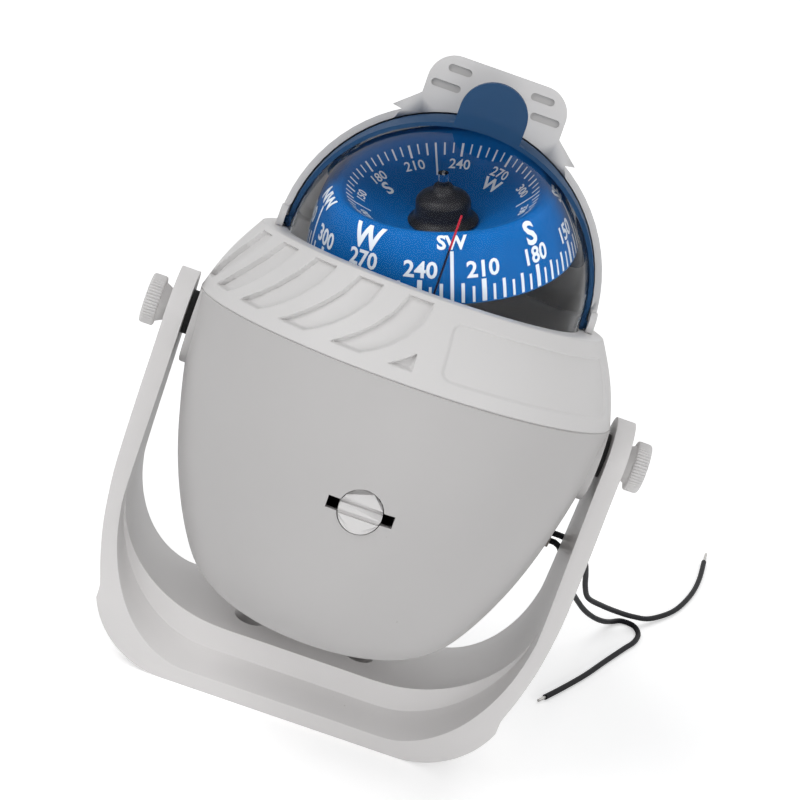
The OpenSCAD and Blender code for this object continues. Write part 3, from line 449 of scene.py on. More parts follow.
class COMPASS_OT_stage(bpy.types.Operator):
    """Adds the floor, the studio lamps, the world and the photograph's camera"""
    bl_idname = "compass.stage"
    bl_label = "Stage and camera"

    def execute(self, context):
        scene = context.scene
        scene.view_settings.view_transform = "Standard"
        deselect()
        bpy.ops.mesh.primitive_plane_add(size=6, location=(0, 0, 0))
        floor = context.object
        floor.name = "floor"
        material, nodes, links, shader = new_material("Pale floor")
        put(shader, {"Roughness": 0.9, "Base Color": (0.93, 0.93, 0.93, 1),
                     "Emission Color": (1, 1, 1, 1)})
        path = nodes.new("ShaderNodeLightPath")
        either = math_node(nodes, links, "MAXIMUM", path.outputs["Is Camera Ray"],
                           path.outputs["Is Transmission Ray"])
        lift = math_node(nodes, links, "MULTIPLY", either.outputs["Value"], FLOOR_LIFT)
        links.new(lift.outputs["Value"], shader.inputs["Emission Strength"])
        give(floor, material)

        world = bpy.data.worlds.new("Studio")
        scene.world = world
        world.use_nodes = True
        nodes, links = world.node_tree.nodes, world.node_tree.links
        background = nodes["Background"]
        path = nodes.new("ShaderNodeLightPath")
        either = math_node(nodes, links, "MAXIMUM", path.outputs["Is Camera Ray"],
                           path.outputs["Is Transmission Ray"])
        seen = math_node(nodes, links, "MAXIMUM", either.outputs["Value"], path.outputs["Is Glossy Ray"])
        mix = colour_mix(nodes, links, seen.outputs["Value"], WORLD_LIGHT, (1, 1, 1))
        links.new(mix.outputs["Result"], background.inputs["Color"])

        for name, place, size, power in LAMPS:
            deselect()
            bpy.ops.object.light_add(type="AREA", location=place)
            lamp = context.object
            lamp.name = name
            lamp.data.size = size
            lamp.data.energy = power
            lamp.visible_glossy = False
            aim = LAMP_AIM - Vector(place)
            lamp.rotation_mode = "QUATERNION"
            lamp.rotation_quaternion = aim.to_track_quat("-Z", "Y")

        azimuth, elevation, roll = (math.radians(a) for a in CAMERA_ANGLES)
        back = Vector((math.sin(azimuth) * math.cos(elevation), -math.cos(azimuth) * math.cos(elevation),
                       math.sin(elevation)))
        right = Vector((math.cos(azimuth), math.sin(azimuth), 0))
        up = back.cross(right)
        across = right * math.cos(roll) + up * math.sin(roll)
        above = back.cross(across)
        deselect()
        bpy.ops.object.camera_add(location=Vector((0, 0, PIVOT_HEIGHT * MM)) + back * CAMERA_DISTANCE)
        camera = context.object
        camera.name = "camera"
        turn = Matrix((across, above, back)).transposed()
        camera.rotation_mode = "QUATERNION"
        camera.rotation_quaternion = turn.to_quaternion()
        camera.data.sensor_width = SENSOR
        camera.data.lens = FOCAL_PIXELS * SENSOR / PICTURE_SIDE
        camera.data.shift_x = SHIFT_PIXELS[0] / PICTURE_SIDE
        camera.data.shift_y = SHIFT_PIXELS[1] / PICTURE_SIDE
        camera.data.clip_start = 0.01
        scene.camera = camera
        return {"FINISHED"}


def spline(points, steps):
    """Smooth line through a route."""
    line = []
    for i in range(len(points) - 1):
        a, b, c = points[max(i - 1, 0)], points[i], points[i + 1]
        d = points[min(i + 2, len(points) - 1)]
        for s in range(steps):
            t = s / steps
            line.append((b * 2 + (c - a) * t + (a * 2 - b * 5 + c * 4 - d) * t * t
                         + (b * 3 - a - c * 3 + d) * t ** 3) / 2)
    line.append(points[-1])
    return line


class COMPASS_OT_leads(bpy.types.Operator):
    """Lays the two thin leads behind the bracket"""
    bl_idname = "compass.leads"
    bl_label = "Lamp leads"

    def execute(self, context):
        across = context.scene.compass_sizes.lead_diameter
        exit_point = housing_point(*LEAD_EXIT)
        for name, route, rise in (("lead_a", LEAD_A, LEAD_RISE), ("lead_b", LEAD_B, -LEAD_RISE)):
            start = exit_point + Vector((0.05, 0, rise)) * MM
            straight = start + Vector((across, 0, 0))
            points = [start] + spline([straight] + [Vector(p) * MM for p in route], 6)
            curve = bpy.data.curves.new(name + "_wire", "CURVE")
            curve.dimensions = "3D"
            curve.bevel_depth = across / 2
            curve.bevel_resolution = 4
            curve.use_fill_caps = True
            line = curve.splines.new("POLY")
            line.points.add(len(points) - 1)
            for point, place in zip(line.points, points):
                point.co = (*place, 1)
            piece = bpy.data.objects.new(name + "_wire", curve)
            context.scene.collection.objects.link(piece)
            give(piece, MATERIALS["lead"])
            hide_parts(name)
            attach(piece, "bracket_base")
        return {"FINISHED"}


# Moulded shapes, in millimetres until they are settled

SEAM_R = 50.0
SEAM_Z = 7.0
TRIM_R = 41.5
TRIM_Z = 26.0
DOME_R = 35.0
WALL = 2.4
BOWL_DEPTH = 66.2
BOWL_ROWS = [
    (0, 1, 1), (0.105, 0.988, 0.986), (0.21, 0.973, 0.974), (0.315, 0.948, 0.961), (0.42, 0.916, 0.944),
    (0.525, 0.879, 0.924), (0.63, 0.832, 0.9), (0.724, 0.779, 0.874), (0.808, 0.722, 0.842),
    (0.882, 0.66, 0.796), (0.925, 0.61, 0.745), (0.96, 0.545, 0.68), (0.987, 0.46, 0.59), (1, 0.36, 0.48),
]
BOSS_R, BOSS_LENGTH, BOSS_X = 11.5, 9.0, 44.95
WASHER_POCKET_R, WASHER_POCKET_X = 5.55, 52.45
PLUG_R, PLUG_Z = 5.15, -22.707
PLUG_SLOT = ((-7.6, -52, PLUG_Z - 1.4), (7.6, -43.5, PLUG_Z + 1.4))
HOLDER = (45, 22.0, -25.95)
HOLDER_R = 4.06


def wrapped_grid(name, around, rows, place):
    """Wraps a grid into a closed form: place(turn, row) gives a point in millimetres."""
    deselect()
    bpy.ops.mesh.primitive_grid_add(x_subdivisions=around, y_subdivisions=rows, size=1)
    piece = bpy.context.object
    piece.name = name
    for vertex in piece.data.vertices:
        turn = (vertex.co.x + 0.5) * 2 * math.pi % (2 * math.pi)
        vertex.co = Vector(place(turn, round((vertex.co.y + 0.5) * rows))) * MM
    open_mesh(piece)
    bpy.ops.mesh.remove_doubles(threshold=0.000002)
    bpy.ops.mesh.normals_make_consistent(inside=False)
    close_mesh()
    return piece


def turned(name, around, rows, profile):
    """Turns a profile of radius and height round the Z axis; a closed one has as many rows as points."""
    def place(turn, row):
        radius, height = profile[row % len(profile)]
        return radius * math.cos(turn), radius * math.sin(turn), height

    return wrapped_grid(name, around, rows, place)


def shape_with(piece, others, operation="DIFFERENCE"):
    """Cuts the tools away from a moulding, or joins them on, and removes them."""
    for tool in others:
        pick(piece)
        bpy.ops.object.modifier_add(type="BOOLEAN")
        modifier = piece.modifiers[-1]
        modifier.operation = operation
        modifier.object = tool
        modifier.solver = "EXACT"
        bpy.ops.object.modifier_apply(modifier=modifier.name)
        bpy.data.objects.remove(tool, do_unlink=True)


def round_bar(radius, length, centre, axis, sides=64):
    """A round tool bar in millimetres, centred, along an axis."""
    deselect()
    bpy.ops.mesh.primitive_cylinder_add(vertices=sides, radius=radius * MM, depth=length * MM)
    piece = bpy.context.object
    turn = {"X": Matrix.Rotation(math.pi / 2, 4, "Y"), "Y": Matrix.Rotation(math.pi / 2, 4, "X"),
            "Z": Matrix.Identity(4)}[axis]
    settle(piece, Matrix.Translation(Vector(centre) * MM) @ turn)
    return piece


def block(low, high):
    """A square tool block between two corners in millimetres."""
    deselect()
    middle = [(a + b) / 2 * MM for a, b in zip(low, high)]
    bpy.ops.mesh.primitive_cube_add(size=1, location=middle)
    piece = bpy.context.object
    piece.scale = [(b - a) * MM for a, b in zip(low, high)]
    settle(piece)
    return piece


def round_edges(piece, width, segments=3, angle=35.0):
    pick(piece)
    bpy.ops.object.modifier_add(type="BEVEL")
    bevel = piece.modifiers[-1]
    bevel.width = width * MM
    bevel.segments = segments
    bevel.limit_method = "ANGLE"
    bevel.angle_limit = math.radians(angle)
    bpy.ops.object.modifier_apply(modifier=bevel.name)


def stand_for(piece, name, material, angle=30.0):
    smooth(piece, angle)
    give(piece, material)
    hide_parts(name)
    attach(piece, frame["nodes"][name]["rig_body"])


def bowl_size(depth):
    """Half width and half depth of the housing at a depth below the seam, smoothly between the rows."""
    share = min(max(depth / BOWL_DEPTH, 0), 1)
    for i in range(len(BOWL_ROWS) - 1):
        if share <= BOWL_ROWS[i + 1][0]:
            break
    before, low, high = BOWL_ROWS[max(i - 1, 0)], BOWL_ROWS[i], BOWL_ROWS[i + 1]
    after = BOWL_ROWS[min(i + 2, len(BOWL_ROWS) - 1)]
    span = high[0] - low[0]
    t = (share - low[0]) / span
    sizes = []
    for k in (1, 2):
        first = (high[k] - before[k]) / max(high[0] - before[0], 1e-6) * span
        second = (after[k] - low[k]) / max(after[0] - low[0], 1e-6) * span
        sizes.append(SEAM_R * ((2 * t ** 3 - 3 * t * t + 1) * low[k] + (t ** 3 - 2 * t * t + t) * first
                               + (3 * t * t - 2 * t ** 3) * high[k] + (t ** 3 - t * t) * second))
    return sizes


class COMPASS_OT_housing(bpy.types.Operator):
    """Lofts the smooth bowl of the housing, with its bosses, plug hole and slot"""
    bl_idname = "compass.housing"
    bl_label = "Housing bowl"

    def execute(self, context):
        steps = 44
        depths = [BOWL_DEPTH * (1 - (1 - t / steps) ** 1.35) for t in range(1, steps)]
        depths = sorted([0, 0.25, 0.8] + depths + [BOWL_DEPTH])
        outer = [(*bowl_size(depth), SEAM_Z - depth) for depth in depths]
        outer[0] = (SEAM_R - 0.25, SEAM_R - 0.25, SEAM_Z)
        foot = outer[-1]
        bottom = [(foot[0] * k, foot[1] * k, foot[2]) for k in (0.75, 0.5, 0.25, 0)]
        inner = [(w - WALL, d - WALL, SEAM_Z - (SEAM_Z - z) * (BOWL_DEPTH - WALL) / BOWL_DEPTH)
                 for w, d, z in reversed(outer[1:])]
        inner_bottom = [(inner[0][0] * k, inner[0][1] * k, inner[0][2]) for k in (0, 0.33, 0.66)]
        loop = outer + bottom + inner_bottom + inner + [(SEAM_R - WALL, SEAM_R - WALL, SEAM_Z)]

        def place(turn, row):
            w, d, z = loop[row % len(loop)]
            return w * math.cos(turn), d * math.sin(turn), z

        bowl = wrapped_grid("housing_bowl", 192, len(loop), place)
        bosses = [round_bar(BOSS_R, BOSS_LENGTH, (side * BOSS_X, 0, 0), "X", 96) for side in (-1, 1)]
        for boss in bosses:
            round_edges(boss, 0.5)
            shape_with(boss, [block((-60, -20, SEAM_Z - 0.001), (60, 20, 30))])
        shape_with(bowl, bosses, "UNION")
        shape_with(bowl, [round_bar(PLUG_R, 14, (0, -48, PLUG_Z), "Y", 72), block(*PLUG_SLOT),
                          round_bar(HOLDER_R, 30, HOLDER, "X")])
        shape_with(bowl, [round_bar(WASHER_POCKET_R, 6, (side * WASHER_POCKET_X, 0, 0), "X")
                          for side in (-1, 1)])
        settle(bowl, housing_matrix())
        # The bowl's white is darkened as painted shade.
        stand_for(bowl, "lower_housing", MATERIALS["shell"], 24)
        return {"FINISHED"}


# Angles in degrees, the rest in millimetres or in shares of the ring's height
RECESS_FIRST, RECESS_PITCH, RECESS_COUNT, RECESS_END = 182.9, 16.2, 6, 270.3
RECESS_DEPTH = 1.3
RECESS_LOW, RECESS_HIGH = 0.155, 0.94
RECESS_ROWS = [  # height share, left edge, right edge
    (0.16, 0, 8.7), (0.24, 2.8, 11.8), (0.34, 5.6, 15), (0.5, 9.2, 18.6), (0.7, 12.6, 21.8), (0.94, 15, 23.3),
]
PANEL = (277.4, 342.0, 0.17, 0.83)  # left, right, low, high
PANEL_DEPTH = 0.5
PANEL_CORNER = 2.4
DEGREE = 0.82  # along the ring's face
FACE_HEIGHT = 20
TRIM_FOOT = SEAM_Z + 0.05
TRIM_INSIDE = [
    (TRIM_R - 0.12, TRIM_Z - 0.1), (TRIM_R - 0.4, TRIM_Z), (35.8, TRIM_Z), (35.5, TRIM_Z - 0.1),
    (35.4, TRIM_Z - 0.4), (35.4, 18.55), (37.8, 18.55), (37.8, 23.6), (39.3, 23.4), (45.6, 12),
    (47.6, TRIM_FOOT), (49.8, TRIM_FOOT),
]


def ease(value):
    value = min(max(value, 0), 1)
    return value * value * (3 - 2 * value)


def recess_edges(share):
    for (h0, a0, b0), (h1, a1, b1) in zip(RECESS_ROWS, RECESS_ROWS[1:]):
        if share <= h1:
            t = (share - h0) / (h1 - h0)
            return a0 + (a1 - a0) * t, b0 + (b1 - b0) * t
    return RECESS_ROWS[-1][1:]


def trim_dent(angle, share):
    """How deep the trim ring's outer face is sunk at an angle in degrees and a height share."""
    dent = 0.0
    if 0.12 < share < 0.98:
        low, high = recess_edges(max(share, RECESS_ROWS[0][0]))
        for k in range(RECESS_COUNT):
            start = RECESS_FIRST + RECESS_PITCH * k
            left = (angle - start - low) * DEGREE
            right = (start + high - angle) * DEGREE
            end = (RECESS_END - angle) * DEGREE
            top = (RECESS_HIGH - share) * FACE_HEIGHT
            foot = (share - RECESS_LOW) * FACE_HEIGHT
            walls = (ease(left / 0.45), ease(right / 0.8), ease(end / 0.35), ease(top / 0.45),
                     ease(foot / 0.6))
            dent = max(dent, RECESS_DEPTH * min(walls))
    middle, half = (PANEL[0] + PANEL[1]) / 2, (PANEL[1] - PANEL[0]) / 2 * DEGREE
    across = half - abs(angle - middle) * DEGREE
    nearest = min(PANEL[3] - share, share - PANEL[2]) * FACE_HEIGHT
    if across < PANEL_CORNER and nearest < PANEL_CORNER:
        inside = PANEL_CORNER - math.hypot(PANEL_CORNER - across, PANEL_CORNER - nearest)
    else:
        inside = min(across, nearest)
    return max(dent, PANEL_DEPTH * ease(inside / 0.5))


class COMPASS_OT_trim(bpy.types.Operator):
    """Shapes the trim ring with its slanted recesses and the bare panel"""
    bl_idname = "compass.trim"
    bl_label = "Trim ring"

    def execute(self, context):
        steps = 84
        bulge = 0.95
        outer = [(SEAM_R + (TRIM_R - SEAM_R) * k / steps + bulge * math.sin(math.pi * k / steps),
                  TRIM_FOOT + (TRIM_Z - TRIM_FOOT) * k / steps, k / steps) for k in range(steps + 1)]
        outer[0] = (SEAM_R, SEAM_Z + 0.25, 0.0)
        outer[-1] = (outer[-1][0], TRIM_Z - 0.3, 1.0)
        loop = outer + [(r, z, None) for r, z in TRIM_INSIDE]

        def place(turn, row):
            r, z, share = loop[row % len(loop)]
            if share is not None:
                r -= trim_dent(math.degrees(turn), share)
            return r * math.cos(turn), r * math.sin(turn), z

        ring = wrapped_grid("trim_ring_moulding", 900, len(loop), place)
        settle(ring, housing_matrix())
        stand_for(ring, "trim_ring", MATERIALS["trim"], 50)
        return {"FINISHED"}


BRACKET_X = 55.6
ARM_IN = 51.2
EYE_R = 9.6
SIDE_Z = PIVOT_HEIGHT * 0.52
STRAIGHT_Z = PIVOT_HEIGHT * 0.8
FOOT_X, FOOT_R = 29, 22.0
FLOOR_Z = 14.1
FOOT_D = 35.0
LIP_RUN = 7
STUD_HOLE_R = 2.15
MOUNT_X, MOUNT_R, COUNTERBORE_R = 13.7, 2.1, 4.0
FLOOR_POCKET = ((-7.5, -8.3, -1), (7.5, 8.3, 9.7))
# Shares of the half width at shares of the pivot's height, along the outside of an arm
LEAN = [(0.895, 0.21), (0.93, 0.29), (0.962, 0.38), (0.982, 0.47), (0.995, 0.58), (1, 0.8)]
# Shares of the foot's depth at shares of the pivot's height
DEPTHS = [(0, 1), (0.16, 1), (0.34, 0.93), (0.5, 0.84), (0.66, 0.73), (0.8, 0.63), (0.92, 0.555), (1, 0.5486)]


def bracket_half_depth(z):
    share = z / PIVOT_HEIGHT
    if share >= 1:
        return math.sqrt(max(EYE_R ** 2 - (z - PIVOT_HEIGHT) ** 2, 0))
    for (s0, d0), (s1, d1) in zip(DEPTHS, DEPTHS[1:]):
        if share <= s1:
            return FOOT_D / 2 * (d0 + (d1 - d0) * (share - s0) / (s1 - s0))
    return EYE_R


def smooth_line(points, count):
    """Even points along a smooth line through the given ones."""
    line = spline([Vector((x, 0, z)) for x, z in points], 12)
    lengths = [0]
    for a, b in zip(line, line[1:]):
        lengths.append(lengths[-1] + (b - a).length)
    even, k = [], 0
    for i in range(count + 1):
        want = lengths[-1] * i / count
        while k < len(lengths) - 2 and lengths[k + 1] < want:
            k += 1
        t = (want - lengths[k]) / max(lengths[k + 1] - lengths[k], 1e-9)
        even.append(line[k].lerp(line[k + 1], t))
    return even


def opening_line(floor_x, floor_z, bulge):
    """Right half of the opening: along the floor, round the corner and up the arm."""
    corner = []
    for i in range(1, 8):
        a = math.pi / 2 * i / 8
        corner.append((floor_x + (ARM_IN - floor_x) * math.sin(a) ** bulge,
                       floor_z + (SIDE_Z - floor_z) * (1 - math.cos(a) ** bulge)))
    return ([(0, floor_z), (floor_x * 0.5, floor_z), (floor_x, floor_z)] + corner
            + [(ARM_IN, SIDE_Z), (ARM_IN, STRAIGHT_Z)])


class COMPASS_OT_bracket(bpy.types.Operator):
    """Shapes the U bracket: round-ended arms, swept corners, bevelled lip and raised floor"""
    bl_idname = "compass.bracket"
    bl_label = "Bracket"

    def execute(self, context):
        count = 64
        low_half = [(FOOT_X + FOOT_R * math.cos(math.radians(a)), FOOT_R + FOOT_R * math.sin(math.radians(a)))
                    for a in range(-90, -13, 12)]
        outline = [(0, 0), (15, 0)] + low_half + [(BRACKET_X * x, PIVOT_HEIGHT * z) for x, z in LEAN]
        outer = smooth_line(outline, count)
        front, step_low, step_top, back = (smooth_line(opening_line(*sizes), count) for sizes in (
            (24.9, 4.1, 1.05), (22, 7.95, 1.05), (19.14, FLOOR_Z, 1.0), (30.16, FLOOR_Z, 1.0)))
        top_z = [STRAIGHT_Z + (PIVOT_HEIGHT - STRAIGHT_Z) * k / 6 for k in range(1, 7)]
        top_z += [PIVOT_HEIGHT + EYE_R * math.sin(math.pi / 2 * k / 14) for k in range(1, 15)]
        outer.extend(Vector((BRACKET_X, 0, z)) for z in top_z)
        for line in (front, step_low, step_top, back):
            line.extend(Vector((ARM_IN, 0, z)) for z in top_z)

        def ring(k):
            def at(line, y):
                p = line[k]
                reach = bracket_half_depth(p.z)
                return Vector((p.x, min(max(y, -reach), reach), p.z))

            def side(start, end, parts):
                """The start of a side and the points that divide it."""
                return [start] + [start.lerp(end, t / parts) for t in range(1, parts)]

            half = FOOT_D / 2
            outer_front, outer_back = at(outer, -half), at(outer, half)
            inner_front, inner_back = at(front, -half), at(back, half)
            low, top = at(step_low, -half + LIP_RUN), at(step_top, -half + LIP_RUN - 0.01)
            loop = side(outer_front, outer_back, 4) + side(outer_back, inner_back, 3)
            loop += side(inner_back, top, 4) + side(top, low, 2)
            loop += side(low, inner_front, 3) + side(inner_front, outer_front, 3)
            return loop

        rings = [ring(k) for k in range(len(outer))]
        full = [[Vector((-p.x, p.y, p.z)) for p in r] for r in reversed(rings[1:])] + rings
        sides = len(full[0])
        deselect()
        bpy.ops.mesh.primitive_grid_add(x_subdivisions=len(full) - 1, y_subdivisions=sides, size=1)
        piece = context.object
        piece.name = "bracket_moulding"
        for vertex in piece.data.vertices:
            i = round((vertex.co.x + 0.5) * (len(full) - 1))
            j = round((vertex.co.y + 0.5) * sides) % sides
            vertex.co = full[i][j] * MM
        open_mesh(piece)
        bpy.ops.mesh.remove_doubles(threshold=0.00002)
        bpy.ops.mesh.dissolve_degenerate(threshold=0.00001)
        bpy.ops.mesh.select_all(action="DESELECT")
        bpy.ops.mesh.select_non_manifold()
        bpy.ops.mesh.edge_face_add()
        bpy.ops.mesh.select_all(action="SELECT")
        bpy.ops.mesh.normals_make_consistent(inside=False)
        close_mesh()
        round_edges(piece, 0.7, 3, 40)
        holes = [round_bar(STUD_HOLE_R, 130, (0, 0, PIVOT_HEIGHT), "X", 48)]
        for radius, length, height in ((MOUNT_R, 40, 0), (COUNTERBORE_R, 20, FLOOR_Z * 0.6 + 10)):
            holes += [round_bar(radius, length, (side * MOUNT_X, 0, height), "Z", 48) for side in (-1, 1)]
        shape_with(piece, holes + [block(*FLOOR_POCKET)])
        settle(piece)
        stand_for(piece, "bracket", MATERIALS["white"], 28)
        return {"FINISHED"}


# Radius and distance from the middle of the bracket
KNOB = [
    (0, 59.5), (2.02, 59.5), (2.02, 55.65), (3.6, 55.65), (3.75, 55.8), (4.75, 57.7), (5.5, 57.76),
    (5.85, 57.9), (5.99, 58.2), (5.99, 59.2), (5.99, 60.3), (5.9, 60.85), (5.6, 61.15), (5.1, 61.24),
    (4.6, 61.2), (2.5, 61.16), (0, 61.16),
]
KNURL_FROM = 5.4
KNURL_DEPTH = 0.38


class COMPASS_OT_knobs(bpy.types.Operator):
    """Turns the two thumbscrew knobs, with a knurled rim and soft edges"""
    bl_idname = "compass.knobs"
    bl_label = "Knobs"

    def execute(self, context):
        knurls = context.scene.compass_sizes.knurls
        for side, node in ((-1, "left_knob"), (1, "right_knob")):
            def place(turn, row):
                r, x = KNOB[row]
                if r > KNURL_FROM:
                    r -= KNURL_DEPTH * abs(2 * ((turn * knurls / (2 * math.pi)) % 1) - 1) ** 2
                return side * x, r * math.cos(turn), PIVOT_HEIGHT + r * math.sin(turn)

            knob = wrapped_grid(node + "_knurled", knurls * 8, len(KNOB) - 1, place)
            stand_for(knob, node, MATERIALS["knob"], 40)
        return {"FINISHED"}


SLOT_H = 1.737
SLOTS = ((10.02, 1.97, 45.438), (12.024, 2.64, 41.154))  # middle, half the straight part, height
SLOT_FLOOR, SLOT_FLOOR_Y = 0.7, 0.9
HOOD_LEAN = math.radians(93)


class COMPASS_OT_slot_floors(bpy.types.Operator):
    """Closes the finger slots of the grip plate with a thin floor, so that they read as recesses"""
    bl_idname = "compass.slot_floors"
    bl_label = "Slot floors"

    def execute(self, context):
        floors = []
        for x, half, z in SLOTS:
            for side in (-1, 1):
                pad = round_bar(SLOT_H / 2 + 0.03, SLOT_FLOOR, (0, SLOT_FLOOR_Y, 0), "Y", 32)
                for vertex in pad.data.vertices:
                    vertex.co.x += math.copysign(half * MM, vertex.co.x) + side * x * MM
                    vertex.co.z += z * MM
                floors.append(pad)
        pick(floors[0])
        for pad in floors[1:]:
            pad.select_set(True)
        bpy.ops.object.join()
        floor = bpy.context.object
        floor.name = "grip_slot_floors"
        settle(floor, capsule_matrix() @ Matrix.Rotation(math.pi / 2 - HOOD_LEAN, 4, "X"))
        smooth(floor, 40)
        # Their darker colour is painted shade at the bottom of the recesses.
        give(floor, MATERIALS["trim_in_painted_shade"])
        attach(floor, frame["nodes"]["sun_hood"]["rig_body"])
        return {"FINISHED"}


FINISHES = {
    "steel": ("left_stud", "right_stud", "filler_screw", "diaphragm_ring", "card_cradle", "pivot_needle"),
    "rubber": ("friction_washers", "capsule_gasket", "expansion_diaphragm"),
    "brass": ("pivot_inserts", "pivot_post", "gimbal_cross"),
    "bowl": ("capsule_bowl",),
    "lubber": ("lubber_line",),
    "clear": ("card_post", "lamp"),
    "red": ("jewel_cup",),
    "float": ("card_float",),
    "magnet": ("card_magnets", "compensator_magnet"),
    "tin": ("lead_a_tip", "lead_b_tip"),
}


class COMPASS_OT_mouldings(bpy.types.Operator):
    """Smooths and finishes the smaller pieces"""
    bl_idname = "compass.mouldings"
    bl_label = "Small pieces"

    def execute(self, context):
        for name, material in (
            ("sun_hood", "trim"), ("compensator_plug", "knob"), ("lamp_holder", "beige"),
            ("sun_shade", "shade"),
        ):
            copy_node(name, name + "_moulding", MATERIALS[material])
        for material, names in FINISHES.items():
            for name in names:
                give(frame["nodes"][name], MATERIALS[material])
        return {"FINISHED"}


FLUID_R = 32.96  # just inside the bowl's wall
FLUID_TOP = -8.9


class COMPASS_OT_capsule(bpy.types.Operator):
    """Makes the clear dome with the fluid that fills it"""
    bl_idname = "compass.capsule"
    bl_label = "Dome and fluid"

    def execute(self, context):
        deselect()
        bpy.ops.mesh.primitive_uv_sphere_add(segments=128, ring_count=96, radius=DOME_R * MM)
        piece = context.object
        piece.name = "dome_and_fluid"
        for vertex in piece.data.vertices:
            if vertex.co.z < FLUID_TOP * MM:
                vertex.co = vertex.co.normalized() * FLUID_R * MM
        for polygon in piece.data.polygons:
            polygon.use_smooth = True
        settle(piece, capsule_matrix())
        give(piece, MATERIALS["dome"])
        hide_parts("capsule_dome")
        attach(piece, "housing")
        return {"FINISHED"}


# Radius and height from the card's pivot
TURRET = [
    (0, 10.77), (3.85, 10.77), (3.85, 5.45), (6.05, 5.45), (6.1, 6.6), (7.0, 6.95), (7.15, 7.25),
    (6.9, 7.6), (6.2, 7.9), (5.75, 8.4), (5.6, 9.2), (5.6, 11.2), (5.45, 11.9), (5.0, 12.5), (4.2, 13.0),
    (3.2, 13.4), (2.5, 13.7), (2.2, 14.1), (2.05, 14.7), (1.8, 15.1), (1.15, 15.2), (1.15, 13.3), (0, 13.3),
]


class COMPASS_OT_turret(bpy.types.Operator):
    """Turns the dark turret in the middle of the card, with rounded shoulders"""
    bl_idname = "compass.turret"
    bl_label = "Turret"

    def execute(self, context):
        turret = turned("card_turret", 72, len(TURRET) - 1, TURRET)
        settle(turret, card_matrix())
        stand_for(turret, "card_hub", MATERIALS["hub"], 40)
        return {"FINISHED"}


CARD_T = 0.85
CARD_HOLE = 6.2
BAND = [
    (27.2, 0.0), (26.9, 3.0), (26.25, 6.5), (25.4, 10.0), (24.7, 12.0), (24.0, 13.2), (23.1, 14.0),
    (21.8, 14.4),
]
DISH = [
    (21.8, 14.4), (20.9, 14.1), (20.0, 13.4), (18.4, 12.0), (16.0, 10.4), (13.6, 8.9), (11.0, 7.7),
    (8.6, 6.9), (CARD_HOLE, 6.45),
]
BAND_UNDER = [(21.7, 13.3), (22.8, 12.8), (23.8, 11.4), (24.6, 9.3), (25.3, 6.2), (26.0, 3.0), (26.35, 0.0)]


class COMPASS_OT_card(bpy.types.Operator):
    """Forms the thin dished card with its rolled crest"""
    bl_idname = "compass.card"
    bl_label = "Card"

    def execute(self, context):
        under = [(max(r - CARD_T * 0.8, CARD_HOLE), z - CARD_T) for r, z in reversed(DISH[1:])]
        corners = BAND + DISH[1:] + under + BAND_UNDER
        loop = []
        for first, second in zip(corners, corners[1:] + corners[:1]):
            loop += [(first[0] + (second[0] - first[0]) * t / 3, first[1] + (second[1] - first[1]) * t / 3)
                     for t in range(3)]
        card = turned("printed_card", 180, len(loop), loop)
        settle(card, card_matrix())
        stand_for(card, "compass_card", MATERIALS["card"], 60)
        return {"FINISHED"}


def along(profile, distance):
    """Radius, height and outward slope at a distance along a profile."""
    for (r0, z0), (r1, z1) in zip(profile, profile[1:]):
        length = math.hypot(r1 - r0, z1 - z0)
        if distance <= length or (r1, z1) == profile[-1]:
            t = distance / length
            return r0 + (r1 - r0) * t, z0 + (z1 - z0) * t, (r1 - r0) / length, (z1 - z0) / length
        distance -= length


def wrap(piece, profile, angle, base, side, lift):
    """Bends a flat print onto the card: x runs round the card, y up the band or out across the dish."""
    for vertex in piece.data.vertices:
        x, y, z = vertex.co
        r, h, dr, dz = along(profile, (base + side * y) / MM)
        turn = angle + side * (x / MM) / r
        normal = (dz, -dr)
        r += normal[0] * (z + lift) / MM
        h += normal[1] * (z + lift) / MM
        vertex.co = (r * math.sin(turn) * MM, -r * math.cos(turn) * MM, h * MM)


HEADING_FRONT = 225.0
FRONT_TURN = math.radians(4)
FONT_SIZE = 1.38  # of a letter's height
BACK_SIZE = 0.56  # of a letter on the band
# Degrees between marks, then width and top of a mark on the band and of its twin on the dish
MARKS = (
    (30, 1.05, 5.2, 0.42, 4.6), (45, 0.75, 11.6, 0.36, 8.6), (10, 0.72, 4.6, 0.34, 4.4),
    (5, 0.58, 3.8, 0.26, 4.0),
)
BAND_MARK_LOW, DISH_MARK_LOW = 0.3, 2.2


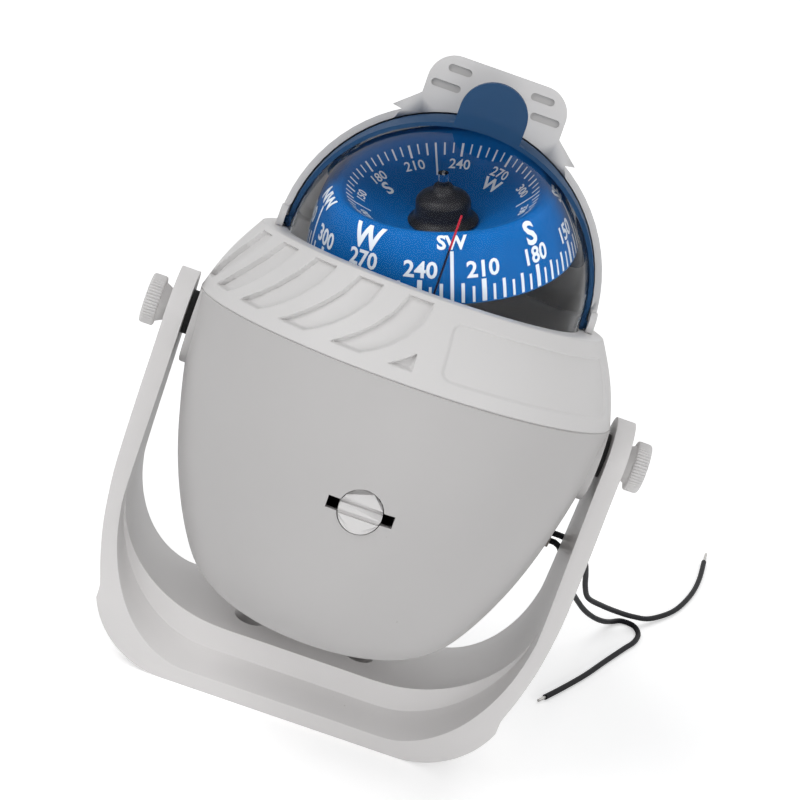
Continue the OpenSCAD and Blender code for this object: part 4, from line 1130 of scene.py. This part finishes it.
class COMPASS_OT_card_print(bpy.types.Operator):
    """Prints the graduations, numbers and letters on both faces of the card"""
    bl_idname = "compass.card_print"
    bl_label = "Card print"

    def execute(self, context):
        sizes = context.scene.compass_sizes
        prints = []

        def bar(width, low, high, angle, profile, side):
            deselect()
            bpy.ops.mesh.primitive_cube_add(size=1)
            mark = context.object
            open_mesh(mark)
            bpy.ops.mesh.subdivide(number_cuts=4)
            close_mesh()
            for vertex in mark.data.vertices:
                vertex.co = (vertex.co.x * width * MM, vertex.co.y * (high - low) * MM,
                             (vertex.co.z + 0.5) * 0.04 * MM)
            wrap(mark, profile, angle, (low + high) / 2 * MM, side, sizes.tick_lift * 0.3)
            prints.append(mark)

        def word(text, height, base, angle, profile, side, bold):
            deselect()
            bpy.ops.object.text_add()
            mark = context.object
            mark.data.body = text
            mark.data.size = height / MM * FONT_SIZE
            mark.data.align_x = "CENTER"
            mark.data.offset = bold
            mark.data.extrude = 0.02
            mark.data.resolution_u = 3
            pick(mark)
            bpy.ops.object.convert(target="MESH")
            mark = context.object
            if text.isalpha():
                open_mesh(mark)
                bpy.ops.mesh.quads_convert_to_tris()
                bpy.ops.mesh.subdivide(number_cuts=4)
                close_mesh()
            for vertex in mark.data.vertices:
                vertex.co = Vector(vertex.co) * MM
            wrap(mark, profile, angle, base * MM, side, sizes.tick_lift)
            prints.append(mark)

        def turn_of(value):
            return FRONT_TURN - math.radians(value - HEADING_FRONT)

        for value in range(0, 360, 5):
            angle = turn_of(value)
            back = angle + math.pi
            width, top, back_width, back_top = next(mark[1:] for mark in MARKS if value % mark[0] == 0)
            bar(width, BAND_MARK_LOW, top, angle, BAND, 1)
            bar(back_width, DISH_MARK_LOW, back_top, back, DISH, -1)
            if value % 30 == 0:
                word(str(value), sizes.number_height, 5.8, angle, BAND, 1, 0.12)
                word(str(value), sizes.number_height * BACK_SIZE, 7.1, back, DISH, -1, 0.03)
        for text, value in (("N", 0), ("NE", 45), ("E", 90), ("SE", 135),
                            ("S", 180), ("SW", 225), ("W", 270), ("NW", 315)):
            if len(text) == 1:
                word(text, sizes.letter_height, 9.9, turn_of(value), BAND, 1, 0.22)
                word(text, sizes.letter_height * BACK_SIZE, 10.3, turn_of(value) + math.pi, DISH, -1, 0.1)
            else:
                word(text, sizes.letter_height * 0.6, 12.1, turn_of(value), BAND, 1, 0.14)
        pick(prints[0])
        for mark in prints:
            mark.select_set(True)
        context.view_layer.objects.active = prints[0]
        bpy.ops.object.join()
        piece = context.object
        piece.name = "band_print"
        settle(piece, card_matrix())
        give(piece, MATERIALS["print"])
        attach(piece, "card")
        return {"FINISHED"}


OPERATORS = (
    COMPASS_OT_stage,
    COMPASS_OT_leads,
    COMPASS_OT_housing,
    COMPASS_OT_trim,
    COMPASS_OT_bracket,
    COMPASS_OT_knobs,
    COMPASS_OT_slot_floors,
    COMPASS_OT_mouldings,
    COMPASS_OT_capsule,
    COMPASS_OT_turret,
    COMPASS_OT_card,
    COMPASS_OT_card_print,
)


class COMPASS_PT_panel(bpy.types.Panel):
    bl_idname = "COMPASS_PT_panel"
    bl_label = "Marine compass"
    bl_space_type = "VIEW_3D"
    bl_region_type = "UI"
    bl_category = "Compass"

    def draw(self, context):
        layout = self.layout
        for operator in OPERATORS:
            layout.operator(operator.bl_idname)
        for group in (context.scene.compass_colours, context.scene.compass_sizes):
            for name in group.__annotations__:
                layout.prop(group, name)


CLASSES = (CompassColours, CompassSizes, *OPERATORS, COMPASS_PT_panel)


def register():
    for cls in CLASSES:
        bpy.utils.register_class(cls)
    bpy.types.Scene.compass_colours = PointerProperty(type=CompassColours)
    bpy.types.Scene.compass_sizes = PointerProperty(type=CompassSizes)


def unregister():
    del bpy.types.Scene.compass_sizes
    del bpy.types.Scene.compass_colours
    for cls in reversed(CLASSES):
        bpy.utils.unregister_class(cls)


def main():
    register()
    make_materials()
    bpy.ops.compass.stage()
    bpy.ops.compass.leads()
    bpy.ops.compass.housing()
    bpy.ops.compass.trim()
    bpy.ops.compass.bracket()
    bpy.ops.compass.knobs()
    bpy.ops.compass.slot_floors()
    bpy.ops.compass.mouldings()
    bpy.ops.compass.capsule()
    bpy.ops.compass.turret()
    bpy.ops.compass.card()
    bpy.ops.compass.card_print()


if __name__ == "__main__":
    main()
